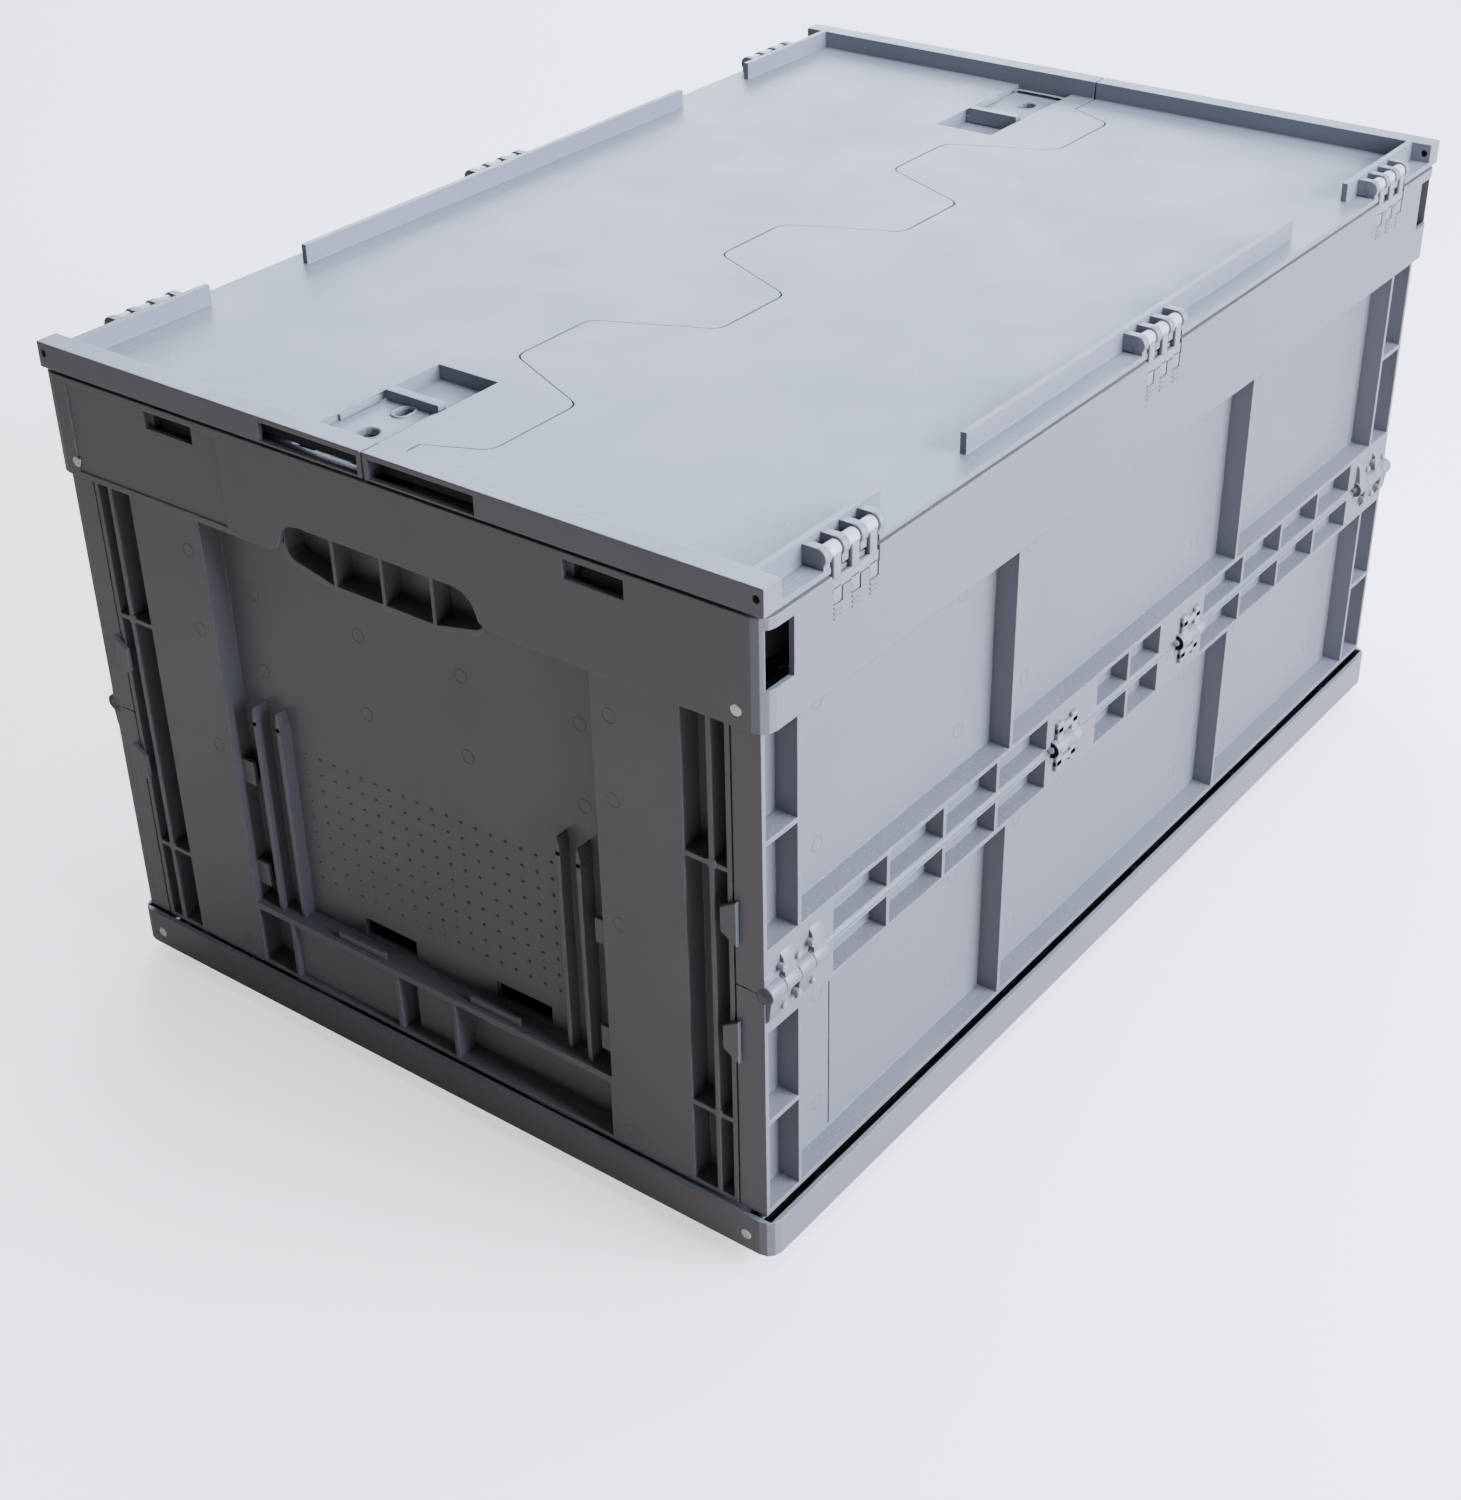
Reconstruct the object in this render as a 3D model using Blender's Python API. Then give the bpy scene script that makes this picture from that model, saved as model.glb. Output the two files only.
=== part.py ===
"""Collapsible storage crate with a divided, hinged lid, in grey polypropylene.

A base tray and a top frame are joined by two long side walls, each made of two halves that hinge
on rods in the tray and the frame and on pins half way up. Two end walls hang from pivots inside
the frame and swing inwards and up. Two lid halves hinge on the long edges of the frame, meet in a
wavy seam, and the left one carries a sliding latch at each end.

Front is -X, rear is +X, left is +Y and right is -Y. The crate stands on Z = 0.
"""

import math

import bmesh
import bpy
from mathutils import Matrix, Vector

MM = 0.001

# Overall size and the heights of the four layers.
LENGTH = 600 * MM
WIDTH = 400 * MM
BASE_HEIGHT = 28 * MM
FOOT_HEIGHT = 9 * MM
FOOT_INSET = 16 * MM
FRAME_BOTTOM = 274.5 * MM
FRAME_HEIGHT = 49 * MM
LID_GAP = 1.5 * MM
LID_HEIGHT = 12 * MM

# Wall thicknesses and clearances.
SKIN = 2.5 * MM
TOUCH = 0.3 * MM
RUN = 1 * MM
CORNER_RADIUS = 7 * MM

# Long side walls.
SIDE_RECESS = 4.8 * MM
SIDE_THICKNESS = 14 * MM
SIDE_BACK = 3 * MM
RIB = 2.3 * MM
SIDE_BOTTOM_GAP = 2 * MM
SIDE_END_GAP = 3 * MM
BAY_RIB_OFFSET = 110 * MM
END_POCKET_WIDTH = 21 * MM
RAIL_HEIGHT = 16 * MM
RAIL_DEPTH = 9 * MM
RAIL_CELL_OFFSETS = (32 * MM, 76 * MM, 120 * MM, 164 * MM, 208 * MM, 250 * MM)

# Fold hinges of the long side walls.
ROD_RADIUS = 2.5 * MM
ROD_INSET = 14 * MM
FRAME_ROD_RISE = 7.5 * MM
BASE_ROD_DROP = 11 * MM
KNUCKLE_RADIUS = 4.3 * MM
ROD_KNUCKLE_WIDTH = 12 * MM
ROD_KNUCKLE_OFFSETS = (40 * MM, 150 * MM, 262 * MM)
LUG_WIDTH = 4 * MM
MID_PIN_RADIUS = 1.75 * MM
MID_KNUCKLE_WIDTH = 10 * MM
MID_CLIP_WIDTH = 8 * MM
MID_CLIP_OFFSET = 61 * MM
SLIT_OFFSET = 235.5 * MM
SLIT_WIDTH = 0.9 * MM

# End walls.
END_RECESS = 3 * MM
END_THICKNESS = 14.5 * MM
END_BACK = 3 * MM
END_SIDE_GAP = 1 * MM
END_AXIS_INSET = 12 * MM
END_AXIS_DROP = 12.5 * MM
END_TOP_DROP = 8 * MM
END_LUG_WIDTH = 24 * MM
END_LUG_OFFSET = 119 * MM
END_PIN_RADIUS = 2.5 * MM
PILASTER_INNER = 111.5 * MM
PILASTER_OUTER = 156.5 * MM
LEDGE_TOP = 66 * MM
LEDGE_THICKNESS = 3.5 * MM
RAIL_TOP = 172 * MM
GRIP_HALF_WIDTH = 57 * MM
GRIP_RISE = 15.5 * MM
GRIP_SAG = 9 * MM
GRIP_OUTER_SAG = 3 * MM
GRIP_CORNER = 7 * MM
SLOT_MIDDLES = (31.5 * MM, -51.5 * MM)
BAR_MIDDLES = (42.5 * MM, -41 * MM)

# Lid.
PANEL_THICKNESS = 2.5 * MM
LIP_WIDTH = 11 * MM
SIDE_RIB_INSET = 11 * MM
SIDE_RIB_THICKNESS = 3 * MM
SHORT_RIB_END = 90 * MM
LONG_RIB_START = 152 * MM
SEAM_GAP = 1.2 * MM
SEAM_PERIOD = 150 * MM
SEAM_SWING = 28 * MM
SEAM_PLATEAU = 50 * MM
LID_AXIS_INSET = 4 * MM
LID_AXIS_RISE = 8.5 * MM
HINGE_INSET = 58 * MM
HINGE_PITCH = 12 * MM
ARM_WIDTH = 4 * MM
ARM_RADIUS = 4 * MM
LID_PIN_RADIUS = 1.5 * MM
BARREL_RADIUS = 3.3 * MM
CLIP_HALF_WIDTH = 15.5 * MM
CLIP_THICKNESS = 2.1 * MM

# Slider latches on the left lid half.
LATCH_LENGTH = 87.5 * MM
LATCH_WIDTH = 35 * MM
LATCH_OFFSET = 32.5 * MM
LATCH_DEPTH = 7 * MM
SLIDER_THICKNESS = 3.4 * MM
SLIDER_LENGTH = 52 * MM
WINDOW_NEAR = 3 * MM
WINDOW_FAR = 60 * MM

# Frame details.
CORNER_WINDOW_LENGTH = 15.5 * MM
CORNER_WINDOW_HEIGHT = 25.5 * MM
BRACKET_DROP = 5.5 * MM
END_WINDOW_MARGIN = 3 * MM
MARKING_SPAN = (88 * MM, 185 * MM)
MARKING_DEPTH = 0.6 * MM
MARKING_MARGIN = 3 * MM
GRIP_FLARE = 6 * MM
NOTCH_INSET = 9.5 * MM

# Hinge clip details.
CLIP_PROUD = 0.2 * MM
CLIP_BAR = (6.5 * MM, 1.5 * MM)
CLIP_LEG_HALF = 3 * MM
CLIP_LEG_DROP = 6 * MM
CLIP_SEAT_MARGIN = 3 * MM

# Lid details.
SEAM_STRAIGHT = 33 * MM
SEAM_RADIUS = 7 * MM
UNDER_RIB_DEPTH = 4 * MM
LATCH_SLOT_END = 27 * MM
LATCH_SLOT_HALF = 11.5 * MM
GUIDE_SPAN = (36 * MM, 60 * MM)
GUIDE_WIDTH = 1.5 * MM
SLIDER_INSET = 16 * MM
SLIDER_LEG = 2 * MM
NOSE_HALF_WIDTH = 10.5 * MM
NOSE_LENGTH = 6 * MM
NOSE_THICKNESS = 2.8 * MM
FINGER_BAR = 5 * MM
FINGER_BAR_RISE = 1.5 * MM
SLIDER_HOLE_RADIUS = 5 * MM
SLIDER_HOLE_INSET = 18 * MM
SLIDER_OVAL = (19 * MM, 28 * MM)
SLIDER_OVAL_HALF = 3 * MM

# End wall details.
EDGE_RIBS = (74 * MM, 203 * MM)
EDGE_COLUMN = 9 * MM
LOW_CORNER_RIB = 89 * MM
LOW_PANEL = (86.5 * MM, 20 * MM)
LOW_PANEL_DEPTH = 2.5 * MM
LOW_GAP = (17.5 * MM, 12 * MM)
LOW_TRAY = (14 * MM, -16 * MM)
LOW_TRAY_DEPTH = 6 * MM
LOW_RIGHT_RIB = 18.5 * MM
RAIL_OFFSETS = (84 * MM, 97 * MM)
RAIL_DEPTHS = (5 * MM, 3 * MM)
HOOK_HEIGHTS = (76 * MM, 134 * MM)
HOOK_LENGTH = 8 * MM
HOOK_HEIGHT = 13 * MM
HOOK_DEPTH = 4 * MM
SLOT_HALF = 16.5 * MM
SLOT_HEIGHT = 11 * MM
BAR_HALF = 15 * MM
BAR_DEPTH = 2.4 * MM
BAR_THICKNESS = 1.8 * MM
BAR_HEIGHT = 4 * MM
GRIP_RIB_HALF = 0.9 * MM
END_LUG_RADIUS = 5 * MM
TAB_OFFSET = 75 * MM
TAB_HALF = 15 * MM
TAB_DROP = 3.5 * MM

# Values that follow from those above.
HALF_L = LENGTH / 2
HALF_W = WIDTH / 2
HINGE_OFFSET = HALF_L - HINGE_INSET
FRAME_TOP = FRAME_BOTTOM + FRAME_HEIGHT
LID_BOTTOM = FRAME_TOP + LID_GAP
LID_TOP = LID_BOTTOM + LID_HEIGHT
PANEL_TOP = LID_BOTTOM + PANEL_THICKNESS
FRAME_ROD_Z = FRAME_BOTTOM + FRAME_ROD_RISE
BASE_ROD_Z = BASE_HEIGHT - BASE_ROD_DROP
MID_Z = (FRAME_ROD_Z + BASE_ROD_Z) / 2
ROD_Y = HALF_W - ROD_INSET
SIDE_FACE = HALF_W - SIDE_RECESS
SIDE_INNER = SIDE_FACE - SIDE_THICKNESS
MID_AXIS_Y = SIDE_FACE + 0.2 * MM
END_FACE = HALF_L - END_RECESS
END_INNER = END_FACE - END_THICKNESS
END_AXIS_X = HALF_L - END_AXIS_INSET
END_AXIS_Z = FRAME_TOP - END_AXIS_DROP
END_TOP = END_AXIS_Z - END_TOP_DROP
END_BOTTOM = BASE_HEIGHT + 1.5 * MM
END_HALF_WIDTH = SIDE_INNER - END_SIDE_GAP
LID_AXIS_Y = HALF_W - LID_AXIS_INSET
LID_AXIS_Z = FRAME_TOP + LID_AXIS_RISE
LID_EDGE = HALF_W - 0.5 * MM
LIP_INNER = HALF_L - LIP_WIDTH
HINGES = (-HINGE_OFFSET, 0.0, HINGE_OFFSET)
SIDES = {"left": 1, "right": -1}
ENDS = {"front": -1, "rear": 1}
FRAME_WALL_X = END_INNER - TOUCH
FRAME_WALL_Y = SIDE_INNER - TOUCH

PARTS = "collapsible_storage_crate"
ROUND_SIDES = 12


def clear_scene():
    """Removes every object, so that the script can run from any starting scene."""
    for obj in list(bpy.data.objects):
        bpy.data.objects.remove(obj, do_unlink=True)


def collection(name):
    """Returns the collection with this name, linked to the scene."""
    found = bpy.data.collections.get(name)
    if found is None:
        found = bpy.data.collections.new(name)
        bpy.context.scene.collection.children.link(found)
    return found


def make_material(name, colour, roughness, metallic=0.0):
    """Returns a Principled material."""
    material = bpy.data.materials.new(name)
    material.use_nodes = True
    shader = material.node_tree.nodes["Principled BSDF"]
    shader.inputs["Base Color"].default_value = (*colour, 1.0)
    shader.inputs["Roughness"].default_value = roughness
    shader.inputs["Metallic"].default_value = metallic
    return material


def tool(name, mesh):
    """Returns a hidden helper object that holds the mesh."""
    obj = bpy.data.objects.new(name, mesh)
    obj.hide_render = True
    obj.display_type = "WIRE"
    collection("helpers").objects.link(obj)
    return obj


def box(x_span, y_span, z_span):
    """Returns a box between two values on each axis, given in any order."""
    mesh = bpy.data.meshes.new("box")
    spans = [sorted(span) for span in (x_span, y_span, z_span)]
    size = [high - low for low, high in spans]
    centre = Vector([(high + low) / 2 for low, high in spans])
    shape = bmesh.new()
    bmesh.ops.create_cube(shape, size=1.0)
    bmesh.ops.scale(shape, vec=size, verts=shape.verts)
    bmesh.ops.translate(shape, vec=centre, verts=shape.verts)
    shape.to_mesh(mesh)
    shape.free()
    return tool("box", mesh)


def cylinder(axis, span, centre, radius, sides=ROUND_SIDES):
    """Returns a cylinder along "X", "Y" or "Z"; centre holds its two other coordinates."""
    mesh = bpy.data.meshes.new("cylinder")
    low, high = sorted(span)
    shape = bmesh.new()
    bmesh.ops.create_cone(
        shape, cap_ends=True, segments=sides, radius1=radius, radius2=radius, depth=high - low
    )
    turn = {"X": Matrix.Rotation(math.pi / 2, 3, "Y"), "Y": Matrix.Rotation(math.pi / 2, 3, "X")}
    bmesh.ops.rotate(shape, matrix=turn.get(axis, Matrix.Identity(3)), verts=shape.verts)
    middle = (low + high) / 2
    first, second = centre
    place = {"X": (middle, first, second), "Y": (first, middle, second), "Z": (first, second, middle)}
    bmesh.ops.translate(shape, vec=place[axis], verts=shape.verts)
    shape.to_mesh(mesh)
    shape.free()
    return tool("cylinder", mesh)


def rounded(corners, steps=3):
    """Returns an outline's points, with each corner (u, v, radius) turned into an arc."""
    points = []
    count = len(corners)
    for index, (u, v, radius) in enumerate(corners):
        here = Vector((u, v))
        if radius <= 0:
            points.append(here)
            continue
        back = (Vector(corners[index - 1][:2]) - here).normalized()
        ahead = (Vector(corners[(index + 1) % count][:2]) - here).normalized()
        half_angle = back.angle(ahead) / 2
        reach = radius / math.tan(half_angle)
        centre = here + (back + ahead).normalized() * (radius / math.sin(half_angle))
        start = here + back * reach - centre
        sweep = start.angle_signed(here + ahead * reach - centre)
        for step in range(steps + 1):
            turn = Matrix.Rotation(-sweep * step / steps, 2)
            points.append(centre + turn @ start)
    return points


def prism(points, axis, span):
    """Returns a flat outline extruded along an axis; its points lie in the two other axes."""
    low, high = sorted(span)
    curve = bpy.data.curves.new("outline", "CURVE")
    curve.dimensions = "2D"
    curve.fill_mode = "BOTH"
    curve.extrude = (high - low) / 2
    spline = curve.splines.new("POLY")
    spline.points.add(len(points) - 1)
    for target, point in zip(spline.points, points):
        target.co = (point[0], point[1], 0, 1)
    spline.use_cyclic_u = True
    guide = bpy.data.objects.new("outline", curve)
    collection("helpers").objects.link(guide)
    bpy.context.view_layer.update()
    mesh = bpy.data.meshes.new_from_object(guide.evaluated_get(bpy.context.evaluated_depsgraph_get()))
    bpy.data.objects.remove(guide)
    place = {
        "Z": Matrix.Identity(4),
        "Y": Matrix(((1, 0, 0, 0), (0, 0, 1, 0), (0, 1, 0, 0), (0, 0, 0, 1))),
        "X": Matrix(((0, 0, 1, 0), (1, 0, 0, 0), (0, 1, 0, 0), (0, 0, 0, 1))),
    }[axis]
    along = {"X": (1, 0, 0), "Y": (0, 1, 0), "Z": (0, 0, 1)}[axis]
    shape = bmesh.new()
    shape.from_mesh(mesh)
    bmesh.ops.remove_doubles(shape, verts=shape.verts, dist=0.00001)
    bmesh.ops.transform(shape, matrix=place, verts=shape.verts)
    bmesh.ops.translate(shape, vec=Vector(along) * ((low + high) / 2), verts=shape.verts)
    bmesh.ops.dissolve_limit(shape, angle_limit=0.001, verts=shape.verts, edges=shape.edges)
    bmesh.ops.recalc_face_normals(shape, faces=shape.faces)
    shape.to_mesh(mesh)
    shape.free()
    return tool("outline", mesh)


def carve(start, steps):
    """Applies Boolean steps, ("join" or "cut", tools), and returns the finished mesh."""
    for index, (action, tools) in enumerate(steps):
        if not tools:
            continue
        group = bpy.data.collections.new(f"step_{index}")
        for obj in tools:
            group.objects.link(obj)
        modifier = start.modifiers.new(f"step_{index}", "BOOLEAN")
        modifier.operation = "UNION" if action == "join" else "DIFFERENCE"
        modifier.operand_type = "COLLECTION"
        modifier.collection = group
    bpy.context.view_layer.update()
    evaluated = start.evaluated_get(bpy.context.evaluated_depsgraph_get())
    mesh = bpy.data.meshes.new_from_object(evaluated)
    shape = bmesh.new()
    shape.from_mesh(mesh)
    bmesh.ops.remove_doubles(shape, verts=shape.verts, dist=0.000002)
    bmesh.ops.dissolve_limit(shape, angle_limit=0.002, verts=shape.verts, edges=shape.edges)
    shape.to_mesh(mesh)
    shape.free()
    for obj in list(collection("helpers").objects):
        bpy.data.objects.remove(obj)
    return mesh


def place(name, mesh, material, origin=(0, 0, 0), turned=False, shifted=False):
    """Adds a sub-part whose mesh is in world coordinates.

    The origin goes to the given point. A turned copy stands on the opposite side, half a turn
    about Z, and a shifted mesh already has its own origin.
    """
    origin = Vector(origin)
    if not shifted:
        mesh.transform(Matrix.Translation(-origin))
    obj = bpy.data.objects.new(name, mesh)
    if not mesh.materials:
        mesh.materials.append(material)
    mesh.materials[0] = material
    mesh.shade_smooth()
    mesh.set_sharp_from_angle(angle=math.radians(30))
    obj.location = Matrix.Rotation(math.pi, 3, "Z") @ origin if turned else origin
    if turned:
        obj.rotation_euler = (0, 0, math.pi)
    collection(PARTS).objects.link(obj)
    return obj


def both(offsets):
    """Returns the offsets on both sides of the middle."""
    return [sign * offset for offset in offsets for sign in (-1, 1)]


def rounded_block(half_x, half_y, z_span, radius):
    """Returns an upright block with rounded vertical corners."""
    corners = [
        (half_x, half_y, radius),
        (-half_x, half_y, radius),
        (-half_x, -half_y, radius),
        (half_x, -half_y, radius),
    ]
    return prism(rounded(corners), "Z", z_span)


# ---------------------------------------------------------------------------------- base tray


def knuckle_centre(offset):
    """Returns the X of a rod knuckle and of the lug beside it, nearer the middle."""
    side = 1 if offset > 0 else -1
    return offset, offset - side * (ROD_KNUCKLE_WIDTH / 2 + LUG_WIDTH / 2 + TOUCH)


def base_tray_mesh():
    """The tray: a rim, a step that carries the walls and a lower foot that nests in a lid."""
    rim = rounded_block(HALF_L, HALF_W, (FOOT_HEIGHT, BASE_HEIGHT), CORNER_RADIUS)
    foot_x = HALF_L - FOOT_INSET
    foot_y = HALF_W - FOOT_INSET
    foot = rounded_block(foot_x, foot_y, (0, FOOT_HEIGHT + SKIN / 2), CORNER_RADIUS)
    upper = box(
        (SKIN - HALF_L, HALF_L - SKIN),
        (SKIN - HALF_W, HALF_W - SKIN),
        (FOOT_HEIGHT + SKIN, BASE_HEIGHT + RUN),
    )
    lower = box(
        (SKIN - foot_x, foot_x - SKIN),
        (SKIN - foot_y, foot_y - SKIN),
        (SKIN, FOOT_HEIGHT + 2 * SKIN),
    )
    lugs = []
    holes = []
    for side in SIDES.values():
        for offset in both(ROD_KNUCKLE_OFFSETS):
            lug_x = knuckle_centre(offset)[1]
            lugs.append(
                box(
                    (lug_x - LUG_WIDTH / 2, lug_x + LUG_WIDTH / 2),
                    (side * (HALF_W - SKIN / 2), side * (ROD_Y - KNUCKLE_RADIUS + RUN)),
                    (FOOT_HEIGHT + SKIN / 2, BASE_ROD_Z + KNUCKLE_RADIUS),
                )
            )
        holes.append(
            cylinder("X", (-LENGTH, LENGTH), (side * ROD_Y, BASE_ROD_Z), ROD_RADIUS + TOUCH)
        )
    return carve(rim, [("join", [foot]), ("cut", [upper, lower]), ("join", lugs), ("cut", holes)])


# ------------------------------------------------------------------------------ long side walls


def mid_knuckles(upper):
    """Returns the X spans of the mid-hinge knuckles that belong to the upper or lower half."""
    spans = []
    start = 0 if upper else 1
    for end in ENDS.values():
        for index in range(start, 4, 2):
            outer = end * (HALF_L - SIDE_END_GAP - index * MID_KNUCKLE_WIDTH)
            spans.append((outer, outer - end * (MID_KNUCKLE_WIDTH - TOUCH)))
        for index in (1,) if upper else (0, 2):
            centre = end * MID_CLIP_OFFSET + (index - 1) * MID_CLIP_WIDTH
            half = (MID_CLIP_WIDTH - TOUCH) / 2
            spans.append((centre - half, centre + half))
    return [sorted(span) for span in spans]


def mid_pin_spans():
    """Returns the X span of each mid-hinge pin."""
    ends = []
    for end in ENDS.values():
        outer = end * (HALF_L - SIDE_END_GAP)
        ends.append(sorted((outer, outer - end * (4 * MID_KNUCKLE_WIDTH - TOUCH))))
        centre = end * MID_CLIP_OFFSET
        half = 1.5 * MID_CLIP_WIDTH
        ends.append([centre - half, centre + half])
    return ends


def rail_walls():
    """Returns the X of each rib in the rail of small pockets, from front to rear."""
    return sorted(both(RAIL_CELL_OFFSETS) + [0.0])


def long_wall_mesh(upper):
    """One half of the left long wall: three bays, end pockets and a rail of small pockets."""
    face, inner = SIDE_FACE, SIDE_INNER
    half_length = HALF_L - SIDE_END_GAP
    split = TOUCH
    if upper:
        low, high = MID_Z + split, FRAME_ROD_Z - FRAME_ROD_RISE + RUN
        rod_z, toward = FRAME_ROD_Z, 1
        rail = (low + RIB, low + RIB + RAIL_HEIGHT)
        bay = (rail[1] + RIB, high - RIB)
    else:
        low, high = BASE_HEIGHT + SIDE_BOTTOM_GAP, MID_Z - split
        rod_z, toward = BASE_ROD_Z, -1
        rail = (high - RIB - RAIL_HEIGHT, high - RIB)
        bay = (low + RIB, rail[0] - RIB)
    slab = box((-half_length, half_length), (face, inner), (low, high))
    floor = inner + SIDE_BACK
    bay_end = half_length - RIB - END_POCKET_WIDTH - RIB
    bay_edges = [-bay_end, -BAY_RIB_OFFSET, BAY_RIB_OFFSET, bay_end]
    pockets = []
    for first, second in zip(bay_edges, bay_edges[1:]):
        left = first + (RIB / 2 if abs(first) < bay_end else 0)
        right = second - (RIB / 2 if abs(second) < bay_end else 0)
        pockets.append(box((left, right), (floor, face + RUN), bay))
    middle = (bay[0] + bay[1]) / 2
    for end in ENDS.values():
        outer = end * (half_length - RIB)
        span = (outer, outer - end * END_POCKET_WIDTH)
        pockets.append(box(span, (floor, face + RUN), (bay[0], middle - RIB / 2)))
        pockets.append(box(span, (floor, face + RUN), (middle + RIB / 2, bay[1])))
    walls = rail_walls()
    for first, second in zip(walls, walls[1:]):
        if first < -MID_CLIP_OFFSET < second or first < MID_CLIP_OFFSET < second:
            continue
        pockets.append(
            box((first + RIB / 2, second - RIB / 2), (face - RAIL_DEPTH, face + RUN), rail)
        )
    if not upper:
        pockets.append(
            box(
                (SLIT_OFFSET, SLIT_OFFSET + SLIT_WIDTH),
                (floor - SLIT_WIDTH, floor + RUN),
                (bay[0] + RUN, bay[1] - RUN),
            )
        )
    knuckles = []
    for low_x, high_x in mid_knuckles(upper):
        knuckles.append(cylinder("X", (low_x, high_x), (MID_AXIS_Y, MID_Z), KNUCKLE_RADIUS))
        root = MID_Z + toward * 1.8 * KNUCKLE_RADIUS
        knuckles.append(
            box((low_x, high_x), (MID_AXIS_Y, face - 2 * KNUCKLE_RADIUS), (MID_Z, root))
        )
    reliefs = []
    for low_x, high_x in mid_knuckles(not upper):
        span = (low_x - TOUCH, high_x + TOUCH)
        clear = KNUCKLE_RADIUS + TOUCH
        reliefs.append(cylinder("X", span, (MID_AXIS_Y, MID_Z), clear))
    body_edge = high if upper else low
    for offset in both(ROD_KNUCKLE_OFFSETS):
        span = (offset - ROD_KNUCKLE_WIDTH / 2, offset + ROD_KNUCKLE_WIDTH / 2)
        knuckles.append(cylinder("X", span, (ROD_Y, rod_z), KNUCKLE_RADIUS))
        knuckles.append(
            box(
                span,
                (ROD_Y - KNUCKLE_RADIUS, ROD_Y + KNUCKLE_RADIUS),
                (rod_z, body_edge - toward * RIB),
            )
        )
    bores = [
        cylinder("X", (-LENGTH, LENGTH), (ROD_Y, rod_z), ROD_RADIUS + TOUCH),
        cylinder("X", (-LENGTH, LENGTH), (MID_AXIS_Y, MID_Z), MID_PIN_RADIUS + TOUCH),
    ]
    return carve(slab, [("cut", pockets + reliefs), ("join", knuckles), ("cut", bores)])


# ------------------------------------------------------------------------------------ top frame


def grip_arch(z_low, widen, rise):
    """Returns the outline, in Y and Z, of the hand-hold arch in the frame's end skirt."""
    half = GRIP_HALF_WIDTH + widen
    flare = GRIP_FLARE
    base = FRAME_BOTTOM
    corners = [
        (half + flare, z_low, 0),
        (half + flare, base, 0),
        (half, base + flare / 2, flare / 2),
        (half - flare / 2, base + rise, 2 * flare),
        (flare / 2 - half, base + rise, 2 * flare),
        (-half, base + flare / 2, flare / 2),
        (-half - flare, base, 0),
        (-half - flare, z_low, 0),
    ]
    return rounded(corners)


def top_frame_mesh():
    """The frame: an outer skirt, a top web, hinge lugs, pivot brackets and latch notches."""
    under_web = FRAME_TOP - SKIN
    block = rounded_block(HALF_L, HALF_W, (FRAME_BOTTOM, FRAME_TOP), CORNER_RADIUS)
    hollow = box(
        (SKIN - HALF_L, HALF_L - SKIN), (SKIN - HALF_W, HALF_W - SKIN), (0, under_web)
    )
    opening = box(
        (-FRAME_WALL_X, FRAME_WALL_X), (-FRAME_WALL_Y, FRAME_WALL_Y), (0, LID_TOP)
    )
    added = []
    cuts = []
    for side in SIDES.values():
        inner_skirt = side * (FRAME_WALL_Y + SKIN)
        added.append(
            box(
                (SKIN / 2 - HALF_L, HALF_L - SKIN / 2),
                (side * FRAME_WALL_Y, inner_skirt),
                (FRAME_ROD_Z + 2.3 * KNUCKLE_RADIUS, under_web + SKIN / 2),
            )
        )
        for offset in both(ROD_KNUCKLE_OFFSETS):
            lug_x = knuckle_centre(offset)[1]
            added.append(
                box(
                    (lug_x - LUG_WIDTH / 2, lug_x + LUG_WIDTH / 2),
                    (side * (HALF_W - SKIN / 2), side * FRAME_WALL_Y),
                    (FRAME_ROD_Z - KNUCKLE_RADIUS, under_web + SKIN / 2),
                )
            )
        cuts.append(
            cylinder("X", (-LENGTH, LENGTH), (side * ROD_Y, FRAME_ROD_Z), ROD_RADIUS + TOUCH)
        )
        for hinge in HINGES:
            added.append(clip_seat(hinge, side))
            cuts += clip_recess(hinge, side)
        for end in ENDS.values():
            cuts.append(
                box(
                    (end * (HALF_L - SKIN), end * (HALF_L - SKIN - CORNER_WINDOW_LENGTH)),
                    (side * (HALF_W - SKIN - RUN), side * (HALF_W + RUN)),
                    (under_web - SKIN - CORNER_WINDOW_HEIGHT, under_web - SKIN),
                )
            )
    for end in ENDS.values():
        added += pivot_brackets(end)
        cuts += end_skirt_cuts(end)
        cuts.append(latch_notch(end))
    return carve(block, [("cut", [hollow]), ("cut", [opening]), ("join", added), ("cut", cuts)])


def pivot_brackets(end):
    """Returns the plates under the web that hold the end wall's two pivot pins."""
    plates = []
    for offset in both([END_LUG_OFFSET]):
        for flank in (-1, 1):
            centre = offset + flank * (END_LUG_WIDTH / 2 + LUG_WIDTH / 2 + TOUCH)
            plates.append(
                box(
                    (end * (HALF_L - SKIN / 2), end * FRAME_WALL_X),
                    (centre - LUG_WIDTH / 2, centre + LUG_WIDTH / 2),
                    (END_AXIS_Z - BRACKET_DROP, FRAME_TOP - SKIN / 2),
                )
            )
    return plates


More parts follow.
